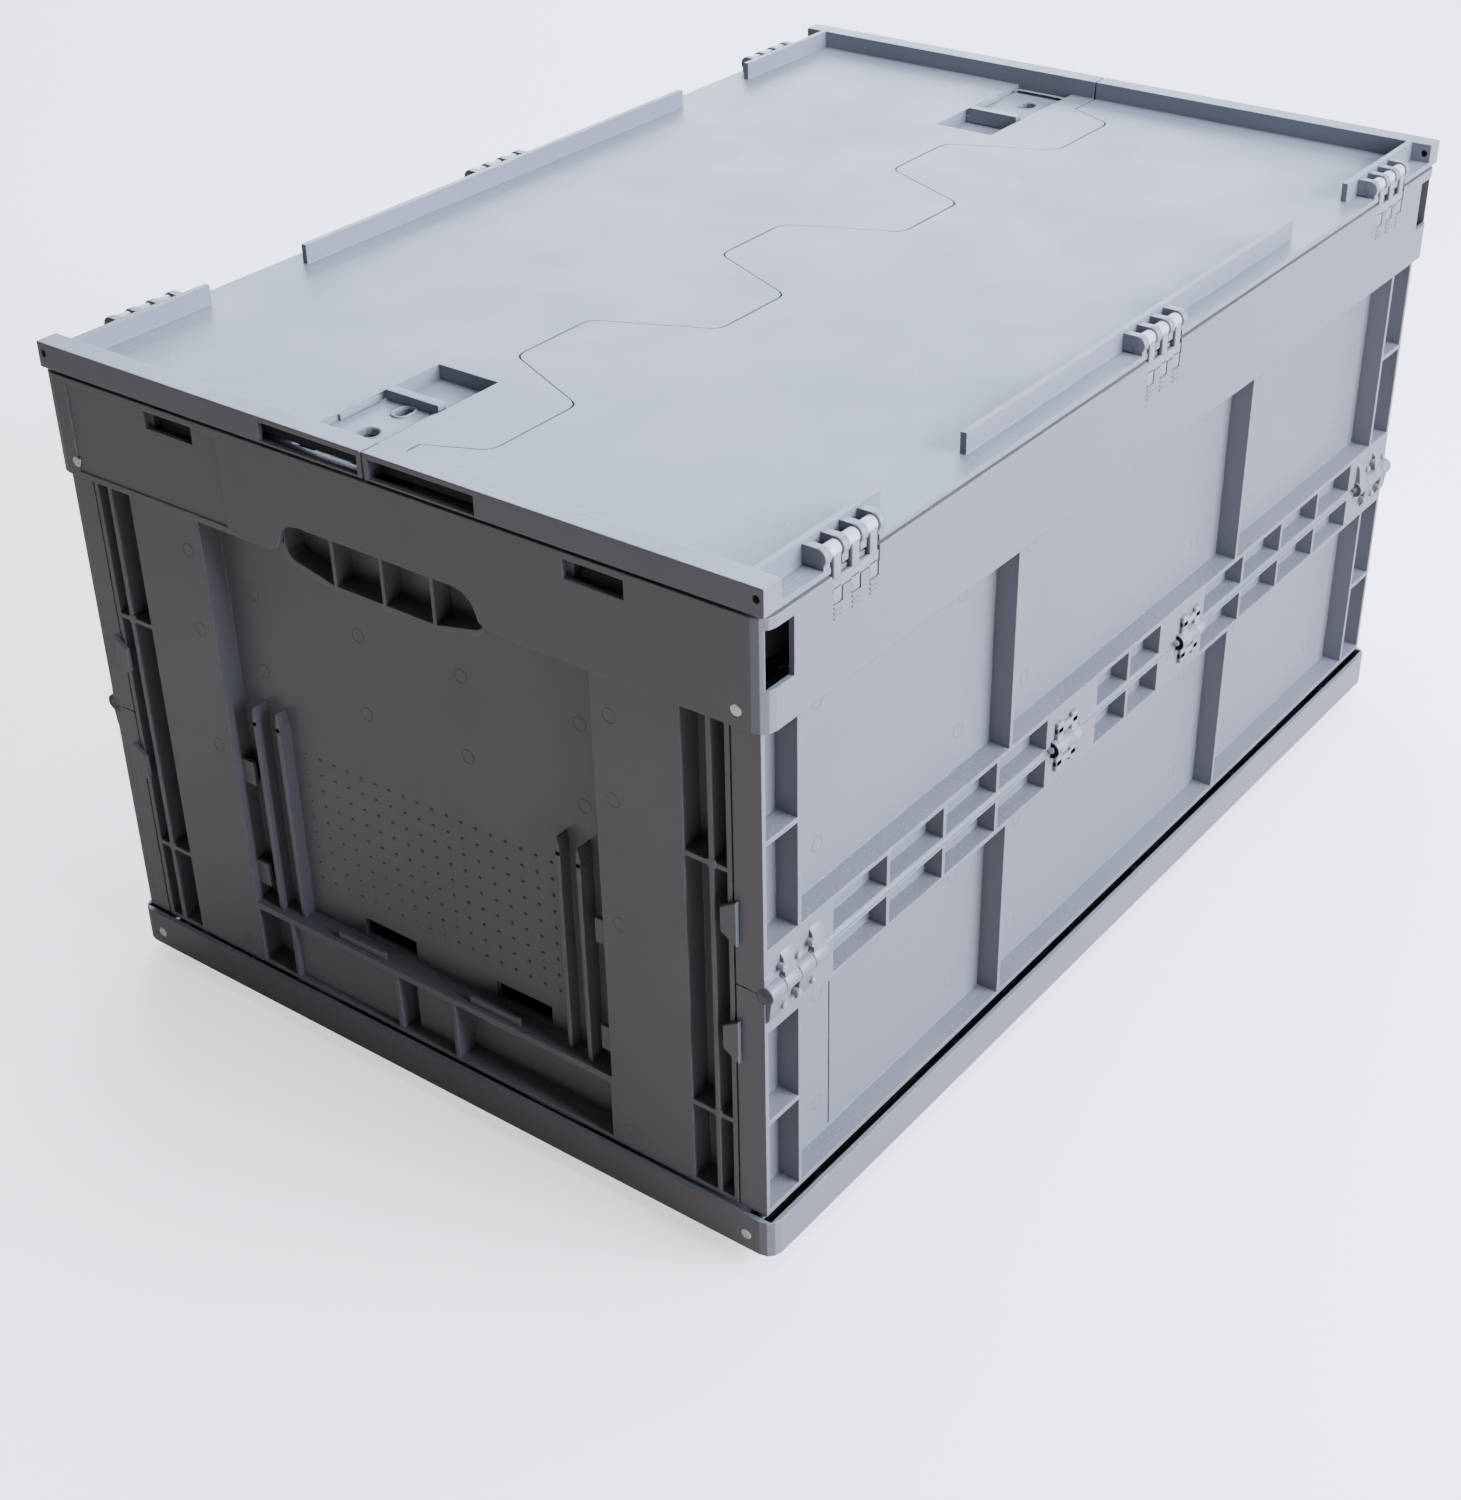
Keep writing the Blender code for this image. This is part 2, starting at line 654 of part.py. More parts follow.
def end_skirt_cuts(end):
    """Returns the hand-hold arch, hinge windows, pin bores and marking field of an end skirt."""
    through = (end * (HALF_L + RUN), end * (HALF_L - SKIN - RUN))
    cuts = [prism(grip_arch(0, 0, GRIP_RISE), "X", through)]
    window_half = END_LUG_WIDTH / 2 + END_WINDOW_MARGIN
    for offset in both([END_LUG_OFFSET]):
        cuts.append(
            box(
                through,
                (offset - window_half, offset + window_half),
                (END_AXIS_Z + RUN, FRAME_TOP - SKIN - RUN / 2),
            )
        )
        reach = END_LUG_WIDTH / 2 + LUG_WIDTH + RUN
        cuts.append(
            cylinder(
                "Y",
                (offset - reach, offset + reach),
                (end * END_AXIS_X, END_AXIS_Z),
                END_PIN_RADIUS + TOUCH,
            )
        )
    cuts.append(
        box(
            (end * (HALF_L - MARKING_DEPTH), end * (HALF_L + RUN)),
            (-end * MARKING_SPAN[0], -end * MARKING_SPAN[1]),
            (FRAME_BOTTOM + MARKING_MARGIN, FRAME_TOP - MARKING_MARGIN),
        )
    )
    return cuts


def latch_notch(end):
    """Returns the cut in the web that a slider latch drops into."""
    half = LATCH_WIDTH / 2 + RUN
    return box(
        (end * (HALF_L - NOTCH_INSET), end * (FRAME_WALL_X - RUN)),
        (LATCH_OFFSET - half, LATCH_OFFSET + half),
        (FRAME_TOP - 2 * SKIN, LID_TOP),
    )


# -------------------------------------------------------------------------- lid hinges and clips


def clip_bars(hinge, side, clearance):
    """Returns the flat bar and the three legs of a hinge clip, or their recess in the frame."""
    outer = side * (HALF_W - CLIP_PROUD + (RUN if clearance else 0))
    inner = side * (HALF_W - CLIP_PROUD - CLIP_THICKNESS - clearance)
    bar_low = FRAME_TOP - CLIP_BAR[0]
    bar_high = FRAME_TOP + RUN if clearance else FRAME_TOP - CLIP_BAR[1]
    half = CLIP_HALF_WIDTH + clearance
    bars = [box((hinge - half, hinge + half), (outer, inner), (bar_low - clearance, bar_high))]
    leg_half = CLIP_LEG_HALF + clearance
    for step in (-1, 0, 1):
        centre = hinge + step * HINGE_PITCH
        bars.append(
            box(
                (centre - leg_half, centre + leg_half),
                (outer, inner),
                (bar_low - CLIP_LEG_DROP - clearance, bar_low + RUN),
            )
        )
    return bars


def clip_seat(hinge, side):
    """Returns the thickening behind the skirt that a clip's recess is cut into."""
    half = CLIP_HALF_WIDTH + CLIP_SEAT_MARGIN
    return box(
        (hinge - half, hinge + half),
        (side * (HALF_W - SKIN / 2), side * (HALF_W - 2.2 * SKIN)),
        (FRAME_TOP - 6 * SKIN, FRAME_TOP - SKIN / 2),
    )


def clip_recess(hinge, side):
    """Returns the cuts in the frame that a clip sits in."""
    return clip_bars(hinge, side, TOUCH)


def lid_clip_mesh(hinge, side):
    """The hinge clip: bar and legs on the frame's face, and three barrels round the pin."""
    bars = clip_bars(hinge, side, 0)
    joined = bars[1:]
    barrel_half = (HINGE_PITCH - ARM_WIDTH) / 2 - TOUCH
    for step in (-1, 0, 1):
        centre = hinge + step * HINGE_PITCH
        span = (centre - barrel_half, centre + barrel_half)
        joined.append(
            cylinder("X", span, (side * LID_AXIS_Y, LID_AXIS_Z), BARREL_RADIUS)
        )
        joined.append(
            box(
                span,
                (side * (HALF_W - 2 * CLIP_PROUD), side * (HALF_W - CLIP_THICKNESS - CLIP_PROUD)),
                (FRAME_TOP - 2 * CLIP_BAR[1], LID_AXIS_Z),
            )
        )
    bore = cylinder(
        "X", (hinge - HALF_L, hinge + HALF_L), (side * LID_AXIS_Y, LID_AXIS_Z),
        LID_PIN_RADIUS + TOUCH,
    )
    return carve(bars[0], [("join", joined), ("cut", [bore])])


def lid_arms(hinge, side):
    """Returns the four arms of one hinge, which reach from a side rib over the pin."""
    arms = []
    for step in (-1.5, -0.5, 0.5, 1.5):
        centre = hinge + step * HINGE_PITCH
        span = (centre - ARM_WIDTH / 2, centre + ARM_WIDTH / 2)
        arms.append(
            cylinder("X", span, (side * LID_AXIS_Y, LID_AXIS_Z), ARM_RADIUS)
        )
        arms.append(
            box(
                span,
                (side * LID_AXIS_Y, side * (HALF_W - SIDE_RIB_INSET - RUN)),
                (LID_AXIS_Z - ARM_RADIUS, LID_AXIS_Z + ARM_RADIUS),
            )
        )
        arms.append(
            box(
                span,
                (side * (HALF_W - RUN), side * (LID_AXIS_Y - RUN)),
                (LID_BOTTOM + RUN, LID_AXIS_Z + RUN),
            )
        )
    return arms


# ------------------------------------------------------------------------------------ lid halves


def seam_points():
    """Returns the seam's points, from front to rear: a wave of flat tops and slanted flanks."""
    flank = SEAM_PERIOD / 2 - SEAM_PLATEAU
    radius = SEAM_RADIUS
    short = SEAM_STRAIGHT
    corners = [(-HALF_L, 0.0, 0), (short - HALF_L, 0.0, 0)]
    level = -1
    middle = -1.5 * SEAM_PERIOD
    while middle < 1.6 * SEAM_PERIOD:
        half = SEAM_PLATEAU / 2
        for u in (middle - half, middle + half):
            corners.append((u, level * SEAM_SWING, radius))
        level = -level
        middle += SEAM_PERIOD / 2
    corners[2] = (corners[1][0] + flank / 2, corners[2][1], radius)
    corners[-1] = (-corners[2][0], corners[-1][1], radius)
    corners += [(HALF_L - short, 0.0, 0), (HALF_L, 0.0, 0)]
    return open_rounded(corners)


def open_rounded(corners):
    """Returns an open line's points with its inner corners turned into arcs."""
    far = [(corners[-1][0], HALF_W, 0), (corners[0][0], HALF_W, 0)]
    return rounded(corners + far, steps=2)[:-2]


def lid_half_mesh(side):
    """One lid half: panel, hollow end lips, side ribs, hinge arms and, on the left, latch wells."""
    gap = side * SEAM_GAP / 2
    seam = [(point[0], point[1] + gap) for point in seam_points()]
    outline = seam + [(HALF_L, side * LID_EDGE), (-HALF_L, side * LID_EDGE)]
    panel = prism(outline, "Z", (LID_BOTTOM, PANEL_TOP))
    added = []
    cuts = []
    rib_inner = HALF_W - SIDE_RIB_INSET - SIDE_RIB_THICKNESS
    for end in ENDS.values():
        lip = (end * HALF_L, end * LIP_INNER)
        added.append(box(lip, (gap, side * LID_EDGE), (LID_BOTTOM, LID_TOP)))
        cuts.append(
            box(
                (end * (HALF_L - SKIN), end * (LIP_INNER + SKIN)),
                (gap + side * SKIN, side * (LID_EDGE - SKIN)),
                (0, LID_TOP - SKIN),
            )
        )
        cuts.append(
            box(
                (end * (HALF_L + RUN), end * (HALF_L - SKIN - RUN)),
                (side * WINDOW_NEAR, side * WINDOW_FAR),
                (LID_BOTTOM + RUN, LID_TOP - SKIN),
            )
        )
        short_rib = (end * (LIP_INNER + RUN), end * (HALF_L - SHORT_RIB_END))
        added.append(
            box(short_rib, (side * rib_inner, side * (HALF_W - SIDE_RIB_INSET)), (LID_BOTTOM, LID_TOP))
        )
    long_rib = HALF_L - LONG_RIB_START
    added.append(
        box(
            (-long_rib, long_rib),
            (side * rib_inner, side * (HALF_W - SIDE_RIB_INSET)),
            (LID_BOTTOM, LID_TOP),
        )
    )
    added += under_ribs(side)
    arms = []
    for hinge in HINGES:
        arms += lid_arms(hinge, side)
        cuts.append(
            box(
                (hinge - CLIP_HALF_WIDTH - 2 * TOUCH, hinge + CLIP_HALF_WIDTH + 2 * TOUCH),
                (side * (HALF_W + RUN), side * (LID_AXIS_Y - BARREL_RADIUS - RUN)),
                (0, PANEL_TOP + RUN),
            )
        )
    bore = cylinder(
        "X", (-LENGTH, LENGTH), (side * LID_AXIS_Y, LID_AXIS_Z), LID_PIN_RADIUS + TOUCH
    )
    steps = [("join", added), ("cut", cuts), ("join", arms), ("cut", [bore])]
    if side == SIDES["left"]:
        steps += latch_wells()
    return carve(panel, steps)


def under_ribs(side):
    """Returns the stiffening ribs under a lid panel, inside the frame's opening."""
    depth = UNDER_RIB_DEPTH
    ribs = []
    reach = FRAME_WALL_X - 4 * RUN
    outer = FRAME_WALL_Y - 4 * RUN
    inner = LATCH_OFFSET + LATCH_WIDTH / 2 + 2 * SKIN
    z_span = (LID_BOTTOM - depth, LID_BOTTOM + PANEL_THICKNESS / 2)
    for centre in (outer - RIB / 2, (outer + inner) / 2, inner):
        ribs.append(box((-reach, reach), (side * (centre - RIB / 2), side * (centre + RIB / 2)), z_span))
    for fraction in (-1, -0.5, 0, 0.5, 1):
        centre = fraction * (reach - RIB / 2)
        ribs.append(
            box(
                (centre - RIB / 2, centre + RIB / 2),
                (side * inner, side * outer),
                z_span,
            )
        )
    return ribs


def latch_wells():
    """Returns the steps that add a well for a slider latch at each end of the left half."""
    housings = []
    wells = []
    rails = []
    half = LATCH_WIDTH / 2
    floor = PANEL_TOP - LATCH_DEPTH
    for end in ENDS.values():
        far = HALF_L - LIP_WIDTH - LATCH_LENGTH
        start = FRAME_WALL_X - RUN
        housings.append(
            box(
                (end * start, end * (far - SKIN)),
                (LATCH_OFFSET - half - SKIN, LATCH_OFFSET + half + SKIN),
                (floor - SKIN, PANEL_TOP - SKIN / 2),
            )
        )
        wells.append(
            box(
                (end * LIP_INNER, end * far),
                (LATCH_OFFSET - half, LATCH_OFFSET + half),
                (floor, LID_TOP),
            )
        )
        wells.append(
            box(
                (end * (start + RUN), end * (HALF_L - LATCH_SLOT_END)),
                (LATCH_OFFSET - LATCH_SLOT_HALF, LATCH_OFFSET + LATCH_SLOT_HALF),
                (floor - 2 * SKIN, floor + RUN),
            )
        )
        for flank in (-1, 1):
            wall = LATCH_OFFSET + flank * half
            rails.append(
                box(
                    (end * (HALF_L - GUIDE_SPAN[0]), end * (HALF_L - GUIDE_SPAN[1])),
                    (wall + flank * RUN, wall - flank * GUIDE_WIDTH),
                    (floor + SLIDER_THICKNESS + 2 * TOUCH, PANEL_TOP - RUN / 2),
                )
            )
    return [("join", housings), ("cut", wells), ("join", rails)]


def slider_mesh(end):
    """A slider latch: plate with two holes, a finger bar, and a nose that goes under the web."""
    floor = PANEL_TOP - LATCH_DEPTH + TOUCH
    top = floor + SLIDER_THICKNESS
    half = LATCH_WIDTH / 2 - TOUCH
    front = HALF_L - SLIDER_INSET
    rear = front - SLIDER_LENGTH
    plate = box((end * front, end * rear), (LATCH_OFFSET - half, LATCH_OFFSET + half), (floor, top))
    nose_half = NOSE_HALF_WIDTH
    nose_high = FRAME_TOP - SKIN - 2 * TOUCH
    nose_low = nose_high - NOSE_THICKNESS
    bar = FINGER_BAR
    added = [
        box(
            (end * (front + NOSE_LENGTH), end * (front - SLIDER_LEG)),
            (LATCH_OFFSET - nose_half, LATCH_OFFSET + nose_half),
            (nose_low, nose_high),
        ),
        box(
            (end * front, end * (front - SLIDER_LEG)),
            (LATCH_OFFSET - nose_half, LATCH_OFFSET + nose_half),
            (nose_low, top),
        ),
        box(
            (end * (rear + bar), end * rear),
            (LATCH_OFFSET - half + SLIDER_LEG, LATCH_OFFSET + half - SLIDER_LEG),
            (floor, PANEL_TOP + FINGER_BAR_RISE),
        ),
    ]
    hole_x = front - SLIDER_HOLE_INSET
    near, far = (end * (hole_x - reach) for reach in SLIDER_OVAL)
    low, high = LATCH_OFFSET - SLIDER_OVAL_HALF, LATCH_OFFSET + SLIDER_OVAL_HALF
    corner = 0.9 * SLIDER_OVAL_HALF
    outline = [(near, low, corner), (far, low, corner), (far, high, corner), (near, high, corner)]
    oval = prism(rounded(outline), "Z", (0, LID_TOP))
    hole_y = LATCH_OFFSET - SLIDER_LEG
    hole = cylinder("Z", (0, LID_TOP), (end * hole_x, hole_y), SLIDER_HOLE_RADIUS)
    return carve(plate, [("join", added), ("cut", [oval, hole])])


# ------------------------------------------------------------------------------------- end walls


def grip_hood():
    """Returns the hood round the hand-hold, one skin outside its cells."""
    half = GRIP_HALF_WIDTH
    top = END_TOP - RUN / 2
    outer_low = FRAME_BOTTOM - GRIP_OUTER_SAG - SKIN
    inner_low = FRAME_BOTTOM - GRIP_SAG - SKIN
    return [
        (half + SKIN, top, 0),
        (half + SKIN, outer_low, GRIP_CORNER + SKIN),
        (half / 2, inner_low, 0),
        (-half / 2, inner_low, 0),
        (-half - SKIN, outer_low, GRIP_CORNER + SKIN),
        (-half - SKIN, top, 0),
    ]


def end_wall_mesh():
    """The front end wall: pilasters, ribbed edges, a deep field with label rails, and a ledge."""
    face, inner = -END_FACE, -END_INNER
    floor = inner - END_BACK
    slab = box((face, inner), (-END_HALF_WIDTH, END_HALF_WIDTH), (END_BOTTOM, END_TOP))
    outside = face - RUN
    bottom = END_BOTTOM + RIB
    cuts = [
        box((outside, floor), (-PILASTER_INNER, PILASTER_INNER), (LEDGE_TOP, END_TOP + RUN))
    ]
    cuts += edge_pockets(outside, floor, bottom)
    cuts += lower_pockets(face, outside, floor, bottom)
    hood = prism(rounded(grip_hood()), "X", (face + RUN, floor + SKIN / 2))
    added = [hood] + label_rails(face, floor) + wall_hooks(face, floor)
    cells = grip_cells(face, floor)
    for middle in SLOT_MIDDLES:
        cells.append(
            box(
                (floor - 2 * SKIN, inner + RUN),
                (middle - SLOT_HALF, middle + SLOT_HALF),
                (LEDGE_TOP + RUN, LEDGE_TOP + SLOT_HEIGHT),
            )
        )
    for middle in BAR_MIDDLES:
        added.append(
            box(
                (face + BAR_DEPTH, face + BAR_DEPTH + BAR_THICKNESS),
                (middle - BAR_HALF, middle + BAR_HALF),
                (LEDGE_TOP - RUN, LEDGE_TOP + BAR_HEIGHT),
            )
        )
    added += pivot_lugs()
    added += floor_tabs()
    bores = [
        cylinder("Y", (-WIDTH, WIDTH), (-END_AXIS_X, END_AXIS_Z), END_PIN_RADIUS + TOUCH)
    ]
    return carve(slab, [("cut", cuts), ("join", added), ("cut", cells + bores)])


def edge_pockets(outside, floor, bottom):
    """Returns the columns of pockets between each pilaster and the wall's edge."""
    pockets = []
    first_rib, second_rib = EDGE_RIBS
    rows = [(bottom, first_rib), (first_rib + RIB, second_rib), (second_rib + RIB, END_TOP - RIB)]
    split = END_HALF_WIDTH - EDGE_COLUMN
    for sign in SIDES.values():
        columns = [
            (sign * (PILASTER_OUTER), sign * (split - RIB)),
            (sign * split, sign * (END_HALF_WIDTH - RIB)),
        ]
        for row in rows:
            for column in columns:
                pockets.append(box((outside, floor), column, row))
    return pockets


def lower_pockets(face, outside, floor, bottom):
    """Returns the pockets and the two shallow panels under the ledge."""
    row = (bottom, LEDGE_TOP - LEDGE_THICKNESS)
    edge = PILASTER_INNER - RUN
    return [
        box((outside, floor), (edge, LOW_CORNER_RIB), row),
        box((outside, face + LOW_PANEL_DEPTH), LOW_PANEL, row),
        box((outside, floor), LOW_GAP, row),
        box((outside, face + LOW_TRAY_DEPTH), LOW_TRAY, row),
        box((outside, floor), (-LOW_RIGHT_RIB, -edge), row),
    ]


def label_rails(face, floor):
    """Returns the upright rails beside the label field."""
    rails = []
    for reach, depth in zip(RAIL_OFFSETS, RAIL_DEPTHS):
        for offset in both([reach]):
            rails.append(
                box(
                    (face + depth, floor + RUN),
                    (offset - RIB / 2, offset + RIB / 2),
                    (LEDGE_TOP - RUN, RAIL_TOP),
                )
            )
    return rails


def wall_hooks(face, floor):
    """Returns the small hooks on the inner flanks of the pilasters."""
    hooks = []
    for sign in SIDES.values():
        for low in HOOK_HEIGHTS:
            root = sign * (PILASTER_INNER + RUN)
            tip = sign * (PILASTER_INNER - HOOK_LENGTH)
            front = face + HOOK_DEPTH
            hooks.append(box((front, front + 2 * RUN), (root, tip), (low, low + HOOK_HEIGHT)))
            hooks.append(
                box(
                    (front + RUN, floor + RUN),
                    (root, tip + sign * RUN),
                    (low + RUN, low + 3 * RUN),
                )
            )
    return hooks


def grip_cells(face, floor):
    """Returns the four cells of the hand-hold, between three ribs."""
    half = GRIP_HALF_WIDTH
    rib_half = GRIP_RIB_HALF
    edges = [-half, -half / 2, 0.0, half / 2, half]
    cells = []
    for index in range(4):
        left = edges[index] + (rib_half if index else 0)
        right = edges[index + 1] - (rib_half if index < 3 else 0)
        left_drop = GRIP_SAG if index else GRIP_OUTER_SAG
        right_drop = GRIP_SAG if index < 3 else GRIP_OUTER_SAG
        corners = [
            (left, END_TOP - SKIN, 0),
            (right, END_TOP - SKIN, 0),
            (right, FRAME_BOTTOM - right_drop, GRIP_CORNER if index == 3 else 0),
            (left, FRAME_BOTTOM - left_drop, GRIP_CORNER if index == 0 else 0),
        ]
        cells.append(prism(rounded(corners[::-1]), "X", (face - RUN, floor)))
    return cells


def pivot_lugs():
    """Returns the two lugs that carry the end wall on its pivot pins."""
    lugs = []
    for offset in both([END_LUG_OFFSET]):
        span = (offset - END_LUG_WIDTH / 2, offset + END_LUG_WIDTH / 2)
        radius = END_LUG_RADIUS
        lugs.append(cylinder("Y", span, (-END_AXIS_X, END_AXIS_Z), radius))
        lugs.append(
            box((-END_AXIS_X - radius, -END_AXIS_X + radius), span, (END_TOP - 2 * SKIN, END_AXIS_Z))
        )
    return lugs


def floor_tabs():
    """Returns the tabs that reach down behind the tray's rim."""
    tabs = []
    for offset in both([TAB_OFFSET]):
        tabs.append(
            box(
                (SKIN + RUN - HALF_L, SKIN + 6 * RUN - HALF_L),
                (offset - TAB_HALF, offset + TAB_HALF),
                (BASE_HEIGHT - TAB_DROP, END_BOTTOM + RIB / 2),
            )
        )
    return tabs


# -------------------------------------------------------------------------------------- assembly


def pin_mesh(axis, span, centre, radius, sides=ROUND_SIDES):
    """A plain round pin or rod."""
    return carve(cylinder(axis, span, centre, radius, sides), [])


def add_rods(steel):
    """Adds the four long rods that the side walls turn on."""
    span = (TOUCH - HALF_L, HALF_L - TOUCH)
    for side_name, side in SIDES.items():
        for level, rod_z in (("base", BASE_ROD_Z), ("frame", FRAME_ROD_Z)):
            centre = (side * ROD_Y, rod_z)
            mesh = pin_mesh("X", span, centre, ROD_RADIUS)
            place(f"{level}_hinge_rod_{side_name}", mesh, steel, (0, *centre))


def add_side_walls(plastic, steel):
    """Adds the four side wall halves and the pins between them."""
    for level, upper in (("upper", True), ("lower", False)):
        origin = (0, ROD_Y, FRAME_ROD_Z if upper else BASE_ROD_Z)
        mesh = long_wall_mesh(upper)
        place(f"{level}_side_wall_left", mesh, plastic, origin)
        place(f"{level}_side_wall_right", mesh.copy(), plastic, origin, turned=True, shifted=True)
    for side_name, side in SIDES.items():
        for index, span in enumerate(sorted(mid_pin_spans())):
            centre = (side * MID_AXIS_Y, MID_Z)
            mesh = pin_mesh("X", span, centre, MID_PIN_RADIUS)
            origin = (sum(span) / 2, *centre)
            place(f"side_hinge_pin_{side_name}_{index + 1}", mesh, steel, origin)


def add_end_walls(plastic, steel):
    """Adds the two end walls and their pivot pins."""
    mesh = end_wall_mesh()
    origin = (-END_AXIS_X, 0, END_AXIS_Z)
    place("end_wall_front", mesh, plastic, origin)
    place("end_wall_rear", mesh.copy(), plastic, origin, turned=True, shifted=True)
    reach = END_LUG_WIDTH / 2 + LUG_WIDTH + TOUCH
    for end_name, end in ENDS.items():
        for side_name, side in SIDES.items():
            middle = side * END_LUG_OFFSET
            centre = (end * END_AXIS_X, END_AXIS_Z)
            pin = pin_mesh("Y", (middle - reach, middle + reach), centre, END_PIN_RADIUS)
            origin = (centre[0], middle, centre[1])
            place(f"end_pivot_pin_{end_name}_{side_name}", pin, steel, origin)


def add_lids(plastic, clip_plastic, steel):
    """Adds the lid halves, their clips and pins, and the slider latches."""
    for side_name, side in SIDES.items():
        origin = (0, side * LID_AXIS_Y, LID_AXIS_Z)
        place(f"lid_half_{side_name}", lid_half_mesh(side), plastic, origin)
        for index, hinge in enumerate(HINGES):
            name = f"{side_name}_{index + 1}"
            at_hinge = (hinge, side * LID_AXIS_Y, LID_AXIS_Z)
            place(f"lid_hinge_clip_{name}", lid_clip_mesh(hinge, side), clip_plastic, at_hinge)
            reach = 1.5 * HINGE_PITCH + ARM_WIDTH / 2
            pin = pin_mesh("X", (hinge - reach, hinge + reach), at_hinge[1:], LID_PIN_RADIUS)
            place(f"lid_hinge_pin_{name}", pin, steel, at_hinge)
    for end_name, end in ENDS.items():
        origin = (end * (HALF_L - SLIDER_INSET - SLIDER_LENGTH), LATCH_OFFSET, PANEL_TOP)
        place(f"slider_latch_{end_name}", slider_mesh(end), plastic, origin)


def main():
    """Builds the whole crate."""
    clear_scene()
    collection("helpers").hide_render = True
    body = make_material("grey_polypropylene", (0.235, 0.235, 0.25), 0.48)
    lid = make_material("lid_polypropylene", (0.26, 0.262, 0.28), 0.45)
    clip_plastic = make_material("clip_plastic", (0.42, 0.395, 0.41), 0.42)
    steel = make_material("zinc_steel", (0.62, 0.62, 0.62), 0.35, 1.0)
    place("base_tray", base_tray_mesh(), body)
    place("top_frame", top_frame_mesh(), body, (0, 0, FRAME_BOTTOM))
    add_rods(steel)
    add_side_walls(body, steel)
    add_end_walls(body, steel)
    add_lids(lid, clip_plastic, steel)
    bpy.data.collections.remove(collection("helpers"))


main()
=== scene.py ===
"""Dresses the collapsible storage crate: finishes for every moulding, the fine moulded detail and
the studio it stands in. Lengths are metres. Front is -X, left is +Y and up is +Z.
"""

import logging
import math
from dataclasses import dataclass, field
from enum import Enum

import bmesh
import bpy
import numpy as np
from mathutils import Matrix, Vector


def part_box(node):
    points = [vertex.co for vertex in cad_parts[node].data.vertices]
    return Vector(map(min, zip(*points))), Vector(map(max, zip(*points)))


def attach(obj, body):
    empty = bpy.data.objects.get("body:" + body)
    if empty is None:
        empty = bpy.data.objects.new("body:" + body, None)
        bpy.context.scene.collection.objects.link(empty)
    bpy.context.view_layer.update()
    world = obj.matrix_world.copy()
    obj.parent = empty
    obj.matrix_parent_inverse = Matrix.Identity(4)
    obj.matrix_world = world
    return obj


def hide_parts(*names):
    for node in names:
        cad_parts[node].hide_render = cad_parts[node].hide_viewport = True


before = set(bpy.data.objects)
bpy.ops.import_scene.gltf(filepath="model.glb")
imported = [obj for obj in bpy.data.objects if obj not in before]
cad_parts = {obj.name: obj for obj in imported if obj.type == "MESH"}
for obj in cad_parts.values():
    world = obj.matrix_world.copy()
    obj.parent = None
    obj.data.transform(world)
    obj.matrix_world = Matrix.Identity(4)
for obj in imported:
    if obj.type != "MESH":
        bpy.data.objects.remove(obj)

LOG = logging.getLogger("crate")
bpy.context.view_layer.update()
MM = 0.001


class End(Enum):
    """The two short ends, by their direction along X."""

    FRONT = -1
    REAR = 1


class Side(Enum):
    """The two long sides, by their direction along Y."""

    LEFT = 1
    RIGHT = -1


# ------------------------------------------------------------------------------------ surfaces


@dataclass
class Shell:
    """A closed surface: its points and its faces, as rows of point numbers."""

    points: np.ndarray
    faces: list[np.ndarray] = field(default_factory=list)


def from_rings(rings: np.ndarray) -> Shell:
    """Closes a stack of rings into a shell.

    Point (i, j) joins (i, j + 1), (i + 1, j + 1) and (i + 1, j), with j counted round the ring.
    The first and the last ring are capped.

    Args:
        rings: Points of shape (rings, points on a ring, 3).

    Returns:
        The shell.
    """
    rows, count = rings.shape[:2]
    row = np.arange(rows - 1)[:, None] * count
    here = np.arange(count)[None, :]
    ahead = (here + 1) % count
    quads = np.stack([row + here, row + ahead, row + count + ahead, row + count + here], -1)
    caps = np.stack([np.arange(count)[::-1], (rows - 1) * count + np.arange(count)])
    return Shell(rings.reshape(-1, 3), [quads.reshape(-1, 4), caps])


def rounded_box(low: tuple, high: tuple, radius: float, steps: int = 2) -> Shell:
    """A box with rounded edges: the box shrunk by the radius, plus a sphere of that radius.

    A point is sign(n) times the shrunk half size, plus the radius times n, where n runs over the
    unit sphere and each octant of the sphere moves out with its own corner.

    Args:
        low: One corner.
        high: The opposite corner.
        radius: Edge radius.
        steps: Divisions of a quarter turn.

    Returns:
        The shell.
    """
    corners = np.sort(np.array([low, high], float), axis=0)
    centre = corners.mean(0)
    half = (corners[1] - corners[0]) / 2
    radius = min(radius, 0.98 * half.min())
    quarter = np.linspace(0, math.pi / 2, steps + 1)
    turn = np.concatenate([quarter + k * math.pi / 2 for k in range(4)])
    sign_u = np.repeat([1, -1, -1, 1], steps + 1)
    sign_v = np.repeat([1, 1, -1, -1], steps + 1)
    rise = np.concatenate([quarter - math.pi / 2, quarter])[:, None]
    sign_w = np.repeat([-1, 1], steps + 1)[:, None]
    flat = half - radius
    x = sign_u * flat[0] + radius * np.cos(rise) * np.cos(turn)
    y = sign_v * flat[1] + radius * np.cos(rise) * np.sin(turn)
    z = sign_w * flat[2] + radius * np.sin(rise) + 0 * turn
    return from_rings(np.stack([x, y, z], -1) + centre)


